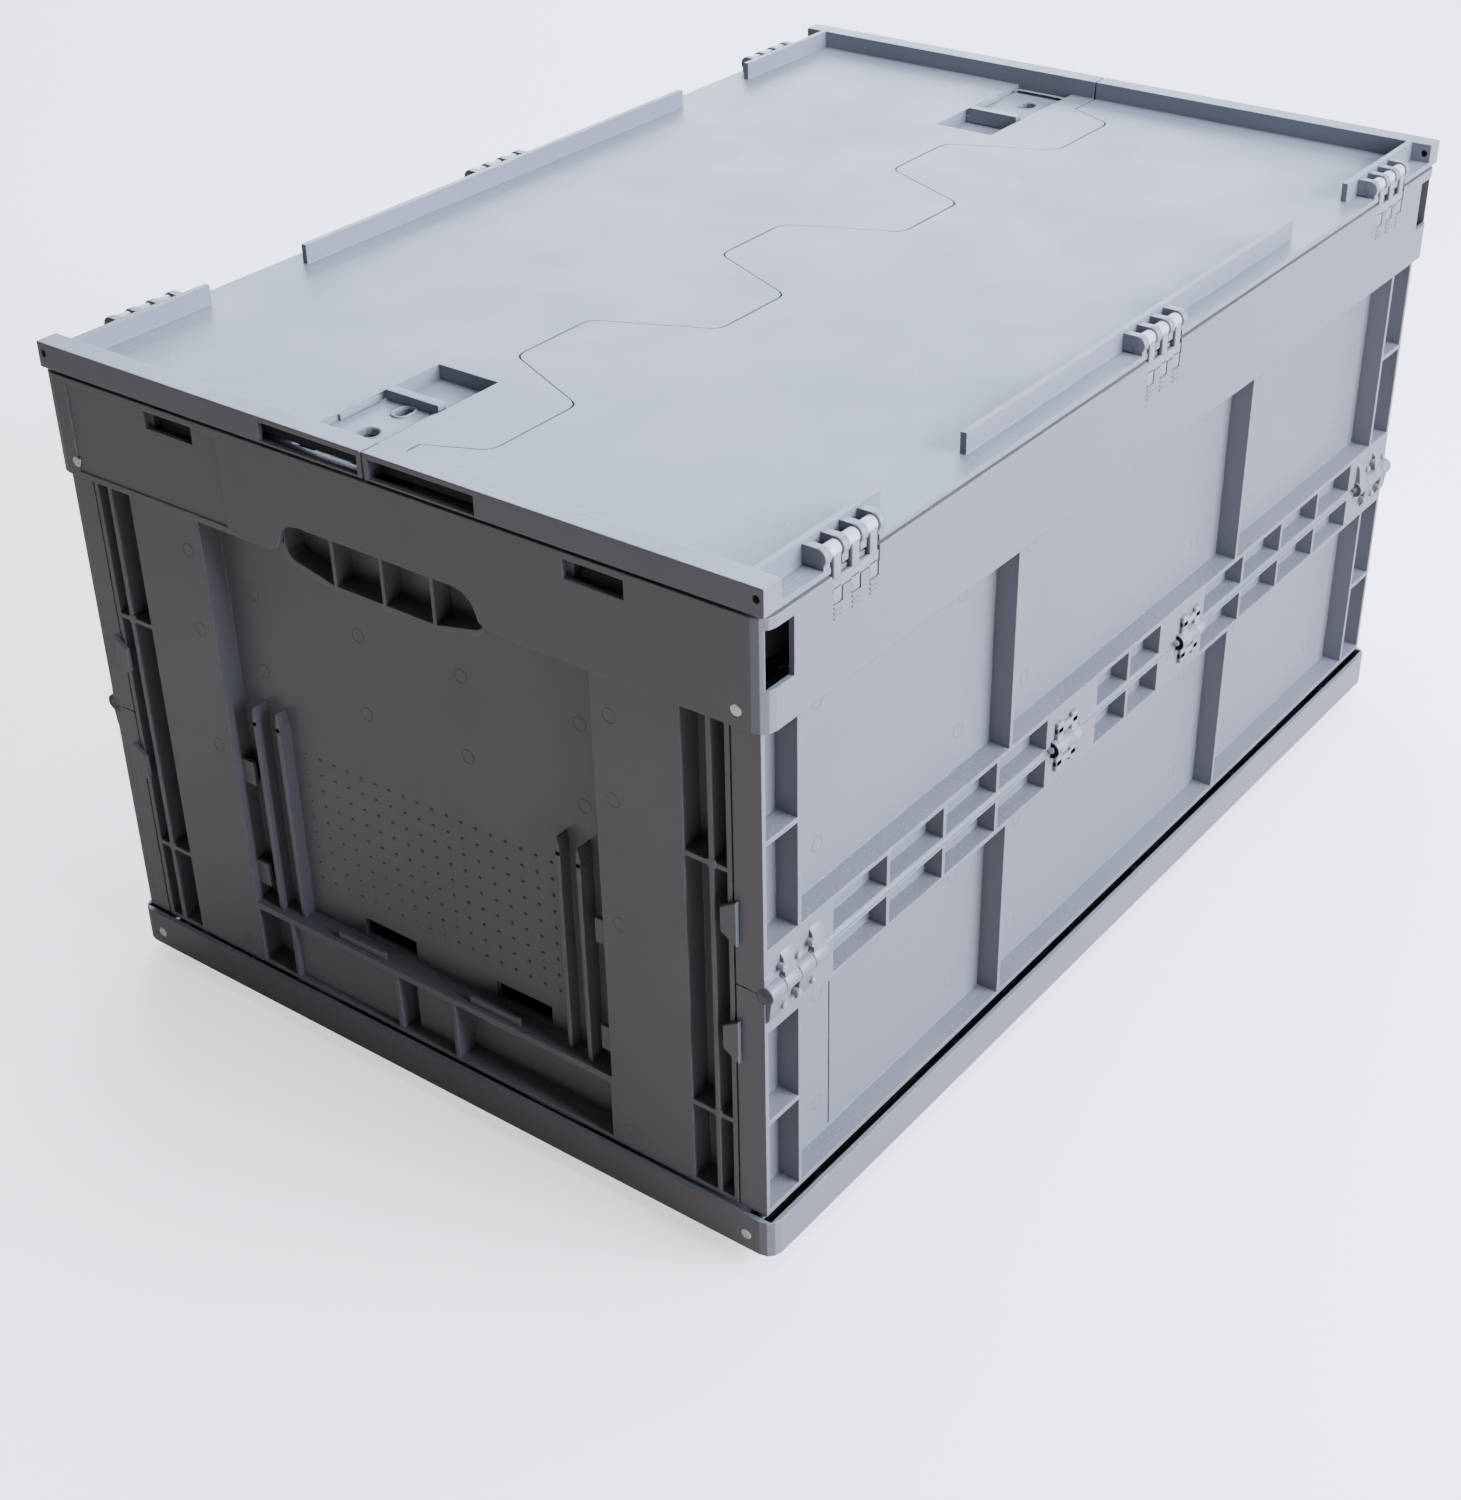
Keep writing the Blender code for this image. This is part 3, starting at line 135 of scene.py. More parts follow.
def lathed(axis: str, start: tuple, profile: np.ndarray, count: int = 32) -> Shell:
    """A profile of (distance along, radius) turned round an axis.

    A point is the start, plus the distance along the axis, plus the radius times the cosine and
    the sine of the turn in the two other directions.

    Args:
        axis: "X", "Y" or "Z".
        start: Where distance 0 lies.
        profile: Rows of (distance, radius).
        count: Points round the axis.

    Returns:
        The shell.
    """
    turn = np.linspace(0, 2 * math.pi, count, endpoint=False)
    along = profile[:, :1] + 0 * turn
    first = profile[:, 1:] * np.cos(turn)
    second = profile[:, 1:] * np.sin(turn)
    order = {"X": (along, first, second), "Y": (second, along, first), "Z": (first, second, along)}
    return from_rings(np.stack(order[axis], -1) + np.array(start))


def drum(length: float, radius: float, fillet: float, steps: int = 3) -> np.ndarray:
    """The profile of a short bar with rounded ends: a quarter circle at each end.

    Args:
        length: Length of the bar.
        radius: Its radius.
        fillet: Radius of the rounding.
        steps: Divisions of a quarter circle.

    Returns:
        Rows of (distance, radius).
    """
    turn = np.linspace(0, math.pi / 2, steps + 1)
    first = np.stack([fillet * (1 - np.sin(turn)), radius - fillet * (1 - np.cos(turn))], -1)
    near = first[::-1]
    far = np.stack([length - near[:, 0], near[:, 1]], -1)[::-1]
    return np.concatenate([near, far])


def bar_between(axis: str, span: tuple, centre: tuple, radius: float, fillet: float) -> Shell:
    """A round bar with rounded ends between two values on an axis."""
    low, high = sorted(span)
    starts = {
        "X": (low, centre[0], centre[1]),
        "Y": (centre[0], low, centre[1]),
        "Z": (centre[0], centre[1], low),
    }
    return lathed(axis, starts[axis], drum(high - low, radius, fillet))


def swept_loop(centre: np.ndarray, across: np.ndarray, up: np.ndarray, section: np.ndarray) -> Shell:
    """A closed section carried round a closed path, as a ring on a surface.

    A point is the path's point, plus the section's first value across the path, plus its second
    value up from the surface.

    Args:
        centre: Path points, (n, 3).
        across: Unit directions across the path, (n, 3).
        up: The surface's normal, (3,).
        section: Rows of (across, up), going round.

    Returns:
        The shell, a closed ring.
    """
    points = (
        centre[:, None, :] + across[:, None, :] * section[None, :, :1] + up * section[None, :, 1:]
    )
    rows, count = points.shape[:2]
    row = np.arange(rows)[:, None]
    here = np.arange(count)[None, :]
    after = (row + 1) % rows
    ahead = (here + 1) % count
    quads = np.stack(
        [row * count + here, row * count + ahead, after * count + ahead, after * count + here], -1
    )
    return Shell(points.reshape(-1, 3), [quads.reshape(-1, 4)])


def obround_ring(centre: tuple, half: tuple, radius: float, bead: float, count: int = 40) -> Shell:
    """A raised bead round an upright hole whose outline is a rounded rectangle.

    The path is the corner of the shrunk rectangle plus the radius times the unit circle; the
    section is a half-sunk circle.

    Args:
        centre: Middle of the hole on the surface.
        half: Half length along X and half width along Y.
        radius: Corner radius.
        bead: Radius of the bead.
        count: Points on the path.

    Returns:
        The shell.
    """
    turn = np.linspace(0, 2 * math.pi, count, endpoint=False) + math.pi / count
    across = np.stack([np.cos(turn), np.sin(turn), 0 * turn], -1)
    corner = np.sign(across) * np.array([half[0] - radius, half[1] - radius, 0])
    path = np.array(centre) + corner + radius * across
    roll = np.linspace(0, 2 * math.pi, 8, endpoint=False)
    section = bead * np.stack([np.cos(roll), np.sin(roll)], -1)
    return swept_loop(path, across, np.array([0.0, 0.0, 1.0]), section)


def wall_ring(centre: tuple, normal: int, radius: float, bead: float) -> Shell:
    """A fine raised circle on a wall that faces along X, such as an ejector pin's mark."""
    turn = np.linspace(0, 2 * math.pi, 28, endpoint=False)
    across = np.stack([0 * turn, np.cos(turn), np.sin(turn)], -1)
    roll = np.linspace(0, 2 * math.pi, 6, endpoint=False)
    section = bead * np.stack([np.cos(roll), np.sin(roll)], -1)
    up = np.array([float(normal), 0.0, 0.0])
    return swept_loop(np.array(centre) + radius * across, across, up, section)


def side_ring(centre: tuple, normal: int, radius: float, bead: float) -> Shell:
    """A fine raised circle on a wall that faces along Y."""
    turn = np.linspace(0, 2 * math.pi, 28, endpoint=False)
    across = np.stack([np.cos(turn), 0 * turn, np.sin(turn)], -1)
    roll = np.linspace(0, 2 * math.pi, 6, endpoint=False)
    section = bead * np.stack([np.cos(roll), np.sin(roll)], -1)
    up = np.array([0.0, float(normal), 0.0])
    return swept_loop(np.array(centre) + radius * across, across, up, section)


def upright_prism(outline: np.ndarray, axis: str, span: tuple, chamfer: float) -> Shell:
    """A flat outline carried along X or Y, with a narrow chamfer at both ends.

    Each ring is the outline, drawn towards its middle by the chamfer at the two ends.

    Args:
        outline: Rows of (Y or X, Z).
        axis: "X" or "Y", the direction it is carried along.
        span: Where it starts and stops.
        chamfer: Size of the end chamfers.

    Returns:
        The shell.
    """
    low, high = sorted(span)
    stations = np.array([low, low + chamfer, high - chamfer, high])
    reach = np.abs(outline - outline.mean(0)).max()
    shrink = np.array([1 - chamfer / reach, 1, 1, 1 - chamfer / reach])[:, None, None]
    flat = (outline - outline.mean(0)) * shrink + outline.mean(0)
    along = np.broadcast_to(stations[:, None], flat.shape[:2])
    parts = (along, flat[..., 0], flat[..., 1]) if axis == "X" else (flat[..., 0], along, flat[..., 1])
    return from_rings(np.stack(parts, -1))


def domes(centres: np.ndarray, normal: int, radius: float, height: float) -> Shell:
    """Many low domes on a wall that faces along X, all worked out at once.

    A dome's point is its centre, plus the radius times the cosine of the rise round the circle,
    plus the height times the sine of the rise along the normal.

    Args:
        centres: Middles of the domes, (n, 3).
        normal: Direction of the wall's face along X.
        radius: Radius of a dome.
        height: Its height.

    Returns:
        The shell of all the domes.
    """
    rise = np.array([-0.5, 0.0, 0.6, 1.15])[:, None]
    turn = np.linspace(0, 2 * math.pi, 8, endpoint=False)[None, :]
    ring = np.stack(
        [
            normal * height * np.sin(rise) + 0 * turn,
            normal * radius * np.cos(rise) * np.cos(turn),
            radius * np.cos(rise) * np.sin(turn),
        ],
        -1,
    )
    one = from_rings(ring)
    count = len(one.points)
    points = (centres[:, None, :] + one.points[None]).reshape(-1, 3)
    shift = (np.arange(len(centres)) * count)[:, None, None]
    faces = [(part[None] + shift).reshape(-1, part.shape[1]) for part in one.faces]
    return Shell(points, faces)


def turned(shell: Shell) -> Shell:
    """The shell after half a turn about Z, for the opposite end or side."""
    return Shell(shell.points * np.array([-1.0, -1.0, 1.0]), shell.faces)


def make_piece(
    name: str, shells: list[Shell], material: bpy.types.Material, body: str
) -> bpy.types.Object:
    """Makes one object of several shells and lets it ride on a body.

    Args:
        name: Name of the piece.
        shells: Its closed surfaces.
        material: Its finish.
        body: The body that it moves with.

    Returns:
        The object, at the origin.
    """
    points: list[np.ndarray] = []
    faces: list[list[int]] = []
    base = 0
    for shell in shells:
        points.append(shell.points)
        for part in shell.faces:
            faces += (part + base).tolist()
        base += len(shell.points)
    mesh = bpy.data.meshes.new(name)
    mesh.from_pydata(np.concatenate(points).tolist(), [], faces)
    work = bmesh.new()
    work.from_mesh(mesh)
    bmesh.ops.remove_doubles(work, verts=work.verts, dist=0.000001)
    bmesh.ops.recalc_face_normals(work, faces=work.faces)
    work.to_mesh(mesh)
    work.free()
    mesh.shade_smooth()
    mesh.set_sharp_from_angle(angle=math.radians(40))
    mesh.materials.append(material)
    piece = bpy.data.objects.new(name, mesh)
    bpy.context.scene.collection.objects.link(piece)
    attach(piece, body)
    return piece


def dress(node: str, material: bpy.types.Material) -> None:
    """Gives a CAD node its finish."""
    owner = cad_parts[node]
    if not owner.material_slots:
        owner.data.materials.append(material)
    for place in owner.material_slots:
        place.link = "OBJECT"
        place.material = material


# ------------------------------------------------------------------------------------- finishes


@dataclass
class NodeDesk:
    """A short way to lay out shader nodes in one tree."""

    tree: bpy.types.NodeTree

    def add(self, kind: str, **values: object) -> bpy.types.Node:
        """Adds a node and sets its plain properties.

        Args:
            kind: Node type.
            values: Properties to set on it.

        Returns:
            The node.
        """
        node = self.tree.nodes.new(kind)
        for key, value in values.items():
            setattr(node, key, value)
        return node

    def wire(self, source: bpy.types.NodeSocket, target: bpy.types.NodeSocket) -> None:
        """Joins two sockets."""
        self.tree.links.new(source, target)

    def math(self, operation: str, first: object, second: object = 0.0) -> bpy.types.NodeSocket:
        """Adds a math node.

        Args:
            operation: Its operation.
            first: Socket or number.
            second: Socket or number.

        Returns:
            Its output.
        """
        node = self.add("ShaderNodeMath", operation=operation)
        for index, value in enumerate((first, second)):
            if isinstance(value, bpy.types.NodeSocket):
                self.wire(value, node.inputs[index])
            else:
                node.inputs[index].default_value = value
        return node.outputs[0]

    def span(self, value: bpy.types.NodeSocket, start: tuple, end: tuple) -> bpy.types.NodeSocket:
        """Maps a value from one range to another, held at the ends.

        Args:
            value: The value.
            start: Low and high of the first range.
            end: Low and high of the second.

        Returns:
            The mapped value.
        """
        node = self.add("ShaderNodeMapRange")
        self.wire(value, node.inputs["Value"])
        node.inputs["From Min"].default_value, node.inputs["From Max"].default_value = start
        node.inputs["To Min"].default_value, node.inputs["To Max"].default_value = end
        return node.outputs["Result"]

    def noise(self, place: bpy.types.NodeSocket, scale: float, detail: float = 2.0) -> bpy.types.NodeSocket:
        """Adds a noise texture and returns its value."""
        node = self.add("ShaderNodeTexNoise")
        self.wire(place, node.inputs["Vector"])
        node.inputs["Scale"].default_value = scale
        node.inputs["Detail"].default_value = detail
        return node.outputs[0]

    def stretched(self, place: bpy.types.NodeSocket, scale: tuple) -> bpy.types.NodeSocket:
        """Scales the coordinates by a different amount on each axis."""
        node = self.add("ShaderNodeMapping")
        self.wire(place, node.inputs["Vector"])
        node.inputs["Scale"].default_value = scale
        return node.outputs["Vector"]


def new_group(name: str, inputs: dict[str, float], outputs: dict[str, str]) -> tuple:
    """Starts a shader node group.

    Args:
        name: Name of the group.
        inputs: Number inputs and their usual values.
        outputs: Outputs and their socket types.

    Returns:
        The group, a desk on it, its input node and its output node.
    """
    group = bpy.data.node_groups.new(name, "ShaderNodeTree")
    for label, value in inputs.items():
        socket = group.interface.new_socket(label, in_out="INPUT", socket_type="NodeSocketFloat")
        socket.default_value = value
    for label, kind in outputs.items():
        group.interface.new_socket(label, in_out="OUTPUT", socket_type=kind)
    desk = NodeDesk(group)
    return group, desk, desk.add("NodeGroupInput"), desk.add("NodeGroupOutput")


def mould_grain_group() -> bpy.types.NodeTree:
    """Spark-eroded grain and flow marks of an injection moulding.

    Height is fine noise at 0.7 mm plus a slower one at 4 mm; tone is broad streaks that follow
    the flow from the gates, with slow patches.

    Returns:
        The node group.
    """
    group, desk, given, result = new_group(
        "mould_grain",
        {"Grain": 1.0, "Flow": 1.0},
        {"Height": "NodeSocketFloat", "Tone": "NodeSocketFloat", "Gloss": "NodeSocketFloat"},
    )
    place = desk.add("ShaderNodeTexCoord").outputs["Object"]
    fine = desk.noise(place, 1500.0, 3.0)
    pebble = desk.noise(place, 420.0, 1.0)
    grain = desk.math("ADD", desk.math("MULTIPLY", fine, 0.6), desk.math("MULTIPLY", pebble, 0.4))
    desk.wire(desk.math("MULTIPLY", grain, given.outputs["Grain"]), result.inputs["Height"])
    streaks = desk.noise(desk.stretched(place, (5.0, 38.0, 5.0)), 1.0, 4.0)
    patches = desk.noise(place, 9.0, 3.0)
    mixed = desk.math("ADD", desk.math("MULTIPLY", streaks, 0.6), desk.math("MULTIPLY", patches, 0.4))
    centred = desk.math("MULTIPLY", desk.math("SUBTRACT", mixed, 0.5), given.outputs["Flow"])
    desk.wire(centred, result.inputs["Tone"])
    handled = desk.noise(place, 23.0, 5.0)
    desk.wire(desk.span(handled, (0.35, 0.7), (-0.5, 0.5)), result.inputs["Gloss"])
    return group


def edge_scuffs_and_highlight_group() -> bpy.types.NodeTree:
    """Rounded edge normals, and a mask for scuffs and a painted highlight along the edges.

    The mask is where the rounded normal leaves the flat one, broken up by two sizes of noise. The paler
    colour it mixes in is partly real scuffing and partly a painted highlight on the edges.

    Returns:
        The node group.
    """
    group, desk, given, result = new_group(
        "edge_scuffs_and_highlight",
        {"Radius": 0.0006, "Amount": 0.5},
        {"Normal": "NodeSocketVector", "Mask": "NodeSocketFloat"},
    )
    soft = desk.add("ShaderNodeBevel", samples=5)
    desk.wire(given.outputs["Radius"], soft.inputs["Radius"])
    desk.wire(soft.outputs["Normal"], result.inputs["Normal"])
    flat = desk.add("ShaderNodeNewGeometry").outputs["Normal"]
    agree = desk.add("ShaderNodeVectorMath", operation="DOT_PRODUCT")
    desk.wire(soft.outputs["Normal"], agree.inputs[0])
    desk.wire(flat, agree.inputs[1])
    edge = desk.span(agree.outputs["Value"], (0.995, 0.86), (0.0, 1.0))
    place = desk.add("ShaderNodeTexCoord").outputs["Object"]
    broken = desk.span(desk.noise(place, 60.0, 5.0), (0.42, 0.62), (0.0, 1.0))
    nicks = desk.span(desk.noise(place, 420.0, 2.0), (0.4, 0.66), (0.25, 1.0))
    mask = desk.math("MULTIPLY", desk.math("MULTIPLY", edge, broken), nicks)
    desk.wire(desk.math("MULTIPLY", mask, given.outputs["Amount"]), result.inputs["Mask"])
    return group


def dust_group() -> bpy.types.NodeTree:
    """Fine dust on faces that look up, thicker in patches.

    Returns:
        The node group.
    """
    group, desk, given, result = new_group("settled_dust", {"Amount": 0.5}, {"Mask": "NodeSocketFloat"})
    split = desk.add("ShaderNodeSeparateXYZ")
    desk.wire(desk.add("ShaderNodeNewGeometry").outputs["Normal"], split.inputs[0])
    level = desk.span(split.outputs["Z"], (0.5, 0.95), (0.0, 1.0))
    place = desk.add("ShaderNodeTexCoord").outputs["Object"]
    patch = desk.span(desk.noise(place, 14.0, 6.0), (0.4, 0.75), (0.15, 1.0))
    speck = desk.span(desk.noise(place, 900.0, 1.0), (0.62, 0.72), (0.0, 1.0))
    cover = desk.math("MULTIPLY", level, desk.math("MAXIMUM", desk.math("MULTIPLY", patch, 0.4), speck))
    desk.wire(desk.math("MULTIPLY", cover, given.outputs["Amount"]), result.inputs["Mask"])
    return group


@dataclass(frozen=True)
class MouldedPlastic:
    """Satin polypropylene, as moulded and handled, with a painted highlight along its edges."""

    name: str
    colour: tuple[float, float, float]
    roughness: float
    grain_height: float = 0.00004
    flow: float = 0.16
    # Paler tint along the edges: partly scuffs, partly a painted highlight.
    scuff_and_highlight_colour: tuple[float, float, float] = (0.55, 0.55, 0.57)
    scuffs_and_highlight: float = 0.55
    dust: float = 0.35
    edge_radius: float = 0.0007

    def build(self, groups: dict[str, bpy.types.NodeTree]) -> bpy.types.Material:
        """Builds the material.

        Args:
            groups: The shared node groups.

        Returns:
            The material.
        """
        material = bpy.data.materials.new(self.name)
        material.use_nodes = True
        desk = NodeDesk(material.node_tree)
        shader = material.node_tree.nodes["Principled BSDF"]
        grain = desk.add("ShaderNodeGroup", node_tree=groups["grain"])
        grain.inputs["Flow"].default_value = self.flow
        scuffs_and_highlight = desk.add("ShaderNodeGroup", node_tree=groups["scuffs_and_highlight"])
        scuffs_and_highlight.inputs["Radius"].default_value = self.edge_radius
        scuffs_and_highlight.inputs["Amount"].default_value = self.scuffs_and_highlight
        dust = desk.add("ShaderNodeGroup", node_tree=groups["dust"])
        dust.inputs["Amount"].default_value = self.dust
        tone = desk.add("ShaderNodeHueSaturation")
        tone.inputs["Color"].default_value = (*self.colour, 1.0)
        desk.wire(desk.math("ADD", grain.outputs["Tone"], 1.0), tone.inputs["Value"])
        # Edges go paler: real scuffing together with a painted edge highlight.
        scuffed_and_highlit = desk.add("ShaderNodeMixRGB")
        desk.wire(scuffs_and_highlight.outputs["Mask"], scuffed_and_highlit.inputs[0])
        desk.wire(tone.outputs["Color"], scuffed_and_highlit.inputs[1])
        scuffed_and_highlit.inputs[2].default_value = (*self.scuff_and_highlight_colour, 1.0)
        dusty = desk.add("ShaderNodeMixRGB")
        desk.wire(dust.outputs["Mask"], dusty.inputs[0])
        desk.wire(scuffed_and_highlit.outputs["Color"], dusty.inputs[1])
        dusty.inputs[2].default_value = (0.5, 0.48, 0.45, 1.0)
        desk.wire(dusty.outputs["Color"], shader.inputs["Base Color"])
        gloss = desk.math("MULTIPLY_ADD", grain.outputs["Gloss"], 0.09)
        gloss.node.inputs[2].default_value = self.roughness
        rough = desk.math("ADD", gloss, desk.math("MULTIPLY", dust.outputs["Mask"], 0.3))
        desk.wire(rough, shader.inputs["Roughness"])
        bump = desk.add("ShaderNodeBump")
        bump.inputs["Distance"].default_value = self.grain_height
        desk.wire(grain.outputs["Height"], bump.inputs["Height"])
        desk.wire(scuffs_and_highlight.outputs["Normal"], bump.inputs["Normal"])
        desk.wire(bump.outputs["Normal"], shader.inputs["Normal"])
        shader.inputs["IOR"].default_value = 1.49
        return material


@dataclass(frozen=True)
class DrawnSteel:
    """Zinc plated drawn rod, with fine lines along it."""

    name: str
    colour: tuple[float, float, float] = (0.66, 0.65, 0.63)

    def build(self, groups: dict[str, bpy.types.NodeTree]) -> bpy.types.Material:
        """Builds the material.

        Args:
            groups: The shared node groups.

        Returns:
            The material.
        """
        material = bpy.data.materials.new(self.name)
        material.use_nodes = True
        desk = NodeDesk(material.node_tree)
        shader = material.node_tree.nodes["Principled BSDF"]
        shader.inputs["Metallic"].default_value = 1.0
        place = desk.add("ShaderNodeTexCoord").outputs["Object"]
        lines = desk.noise(desk.stretched(place, (60.0, 2600.0, 2600.0)), 1.0, 3.0)
        bloom = desk.noise(place, 240.0, 4.0)
        tone = desk.add("ShaderNodeHueSaturation")
        tone.inputs["Color"].default_value = (*self.colour, 1.0)
        desk.wire(desk.span(bloom, (0.3, 0.7), (0.78, 1.08)), tone.inputs["Value"])
        desk.wire(tone.outputs["Color"], shader.inputs["Base Color"])
        desk.wire(desk.span(bloom, (0.3, 0.7), (0.5, 0.28)), shader.inputs["Roughness"])
        scuffs_and_highlight = desk.add("ShaderNodeGroup", node_tree=groups["scuffs_and_highlight"])
        scuffs_and_highlight.inputs["Radius"].default_value = 0.0003
        bump = desk.add("ShaderNodeBump")
        bump.inputs["Distance"].default_value = 0.00002
        desk.wire(lines, bump.inputs["Height"])
        desk.wire(scuffs_and_highlight.outputs["Normal"], bump.inputs["Normal"])
        desk.wire(bump.outputs["Normal"], shader.inputs["Normal"])
        return material


@dataclass
class Finishes:
    """Every finish on the crate, built once."""

    body: bpy.types.Material
    walls: bpy.types.Material
    lid: bpy.types.Material
    clip: bpy.types.Material
    # Paler copy of the clip plastic for the barrels: a painted highlight on their round tops.
    barrel: bpy.types.Material
    steel: bpy.types.Material

    @classmethod
    def mixed(cls) -> "Finishes":
        """Builds the shared groups and the finishes.

        Returns:
            The finishes.
        """
        groups = {
            "grain": mould_grain_group(),
            "scuffs_and_highlight": edge_scuffs_and_highlight_group(),
            "dust": dust_group(),
        }
        grey = (0.155, 0.152, 0.165)
        return cls(
            body=MouldedPlastic("frame_polypropylene", grey, 0.42).build(groups),
            walls=MouldedPlastic("wall_polypropylene", grey, 0.4, scuffs_and_highlight=0.45).build(groups),
            lid=MouldedPlastic(
                "lid_polypropylene", (0.175, 0.176, 0.196), 0.43, flow=0.2, scuffs_and_highlight=0.5
            ).build(groups),
            clip=MouldedPlastic(
                "clip_plastic", (0.21, 0.196, 0.204), 0.4, grain_height=0.00001, scuffs_and_highlight=0.3, dust=0.15
            ).build(groups),
            # The barrels' tone is the clip's tone made paler, a painted highlight on their round tops.
            barrel=MouldedPlastic(
                "barrel_plastic", (0.5, 0.455, 0.465), 0.32, grain_height=0.00001, scuffs_and_highlight=0.1, dust=0.1
            ).build(groups),
            steel=DrawnSteel("zinc_steel").build(groups),
        )


# ---------------------------------------------------------------------------------- the crate


@dataclass
class BaseTray:
    """The tray under the walls, and the heads of the two rods that run through it."""

    rod_y: float = 186 * MM
    rod_z: float = 17 * MM
    head_radius: float = 2.7 * MM

    def fit(self, finishes: Finishes) -> None:
        """Dresses the tray and adds the rod heads.

        Args:
            finishes: The finishes.
        """
        dress("base_tray", finishes.body)
        add_rod_heads("base_rod_heads", self.rod_y, self.rod_z, self.head_radius, finishes.steel)
        LOG.info("base tray dressed")


def add_rod_heads(
    name: str, rod_y: float, rod_z: float, radius: float, steel: bpy.types.Material
) -> None:
    """Adds the slightly upset heads at the four ends of a pair of rods.

    Args:
        name: Name of the piece.
        rod_y: Distance of the rods from the middle.
        rod_z: Their height.
        radius: Radius of a head.
        steel: Their finish.
    """
    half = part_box("base_tray")[1][0]
    heads = []
    for end in End:
        for side in Side:
            span = (end.value * (half - 0.5 * MM), end.value * (half + 0.15 * MM))
            heads.append(bar_between("X", span, (side.value * rod_y, rod_z), radius, 0.3 * MM))
    make_piece(name, heads, steel, "shell")


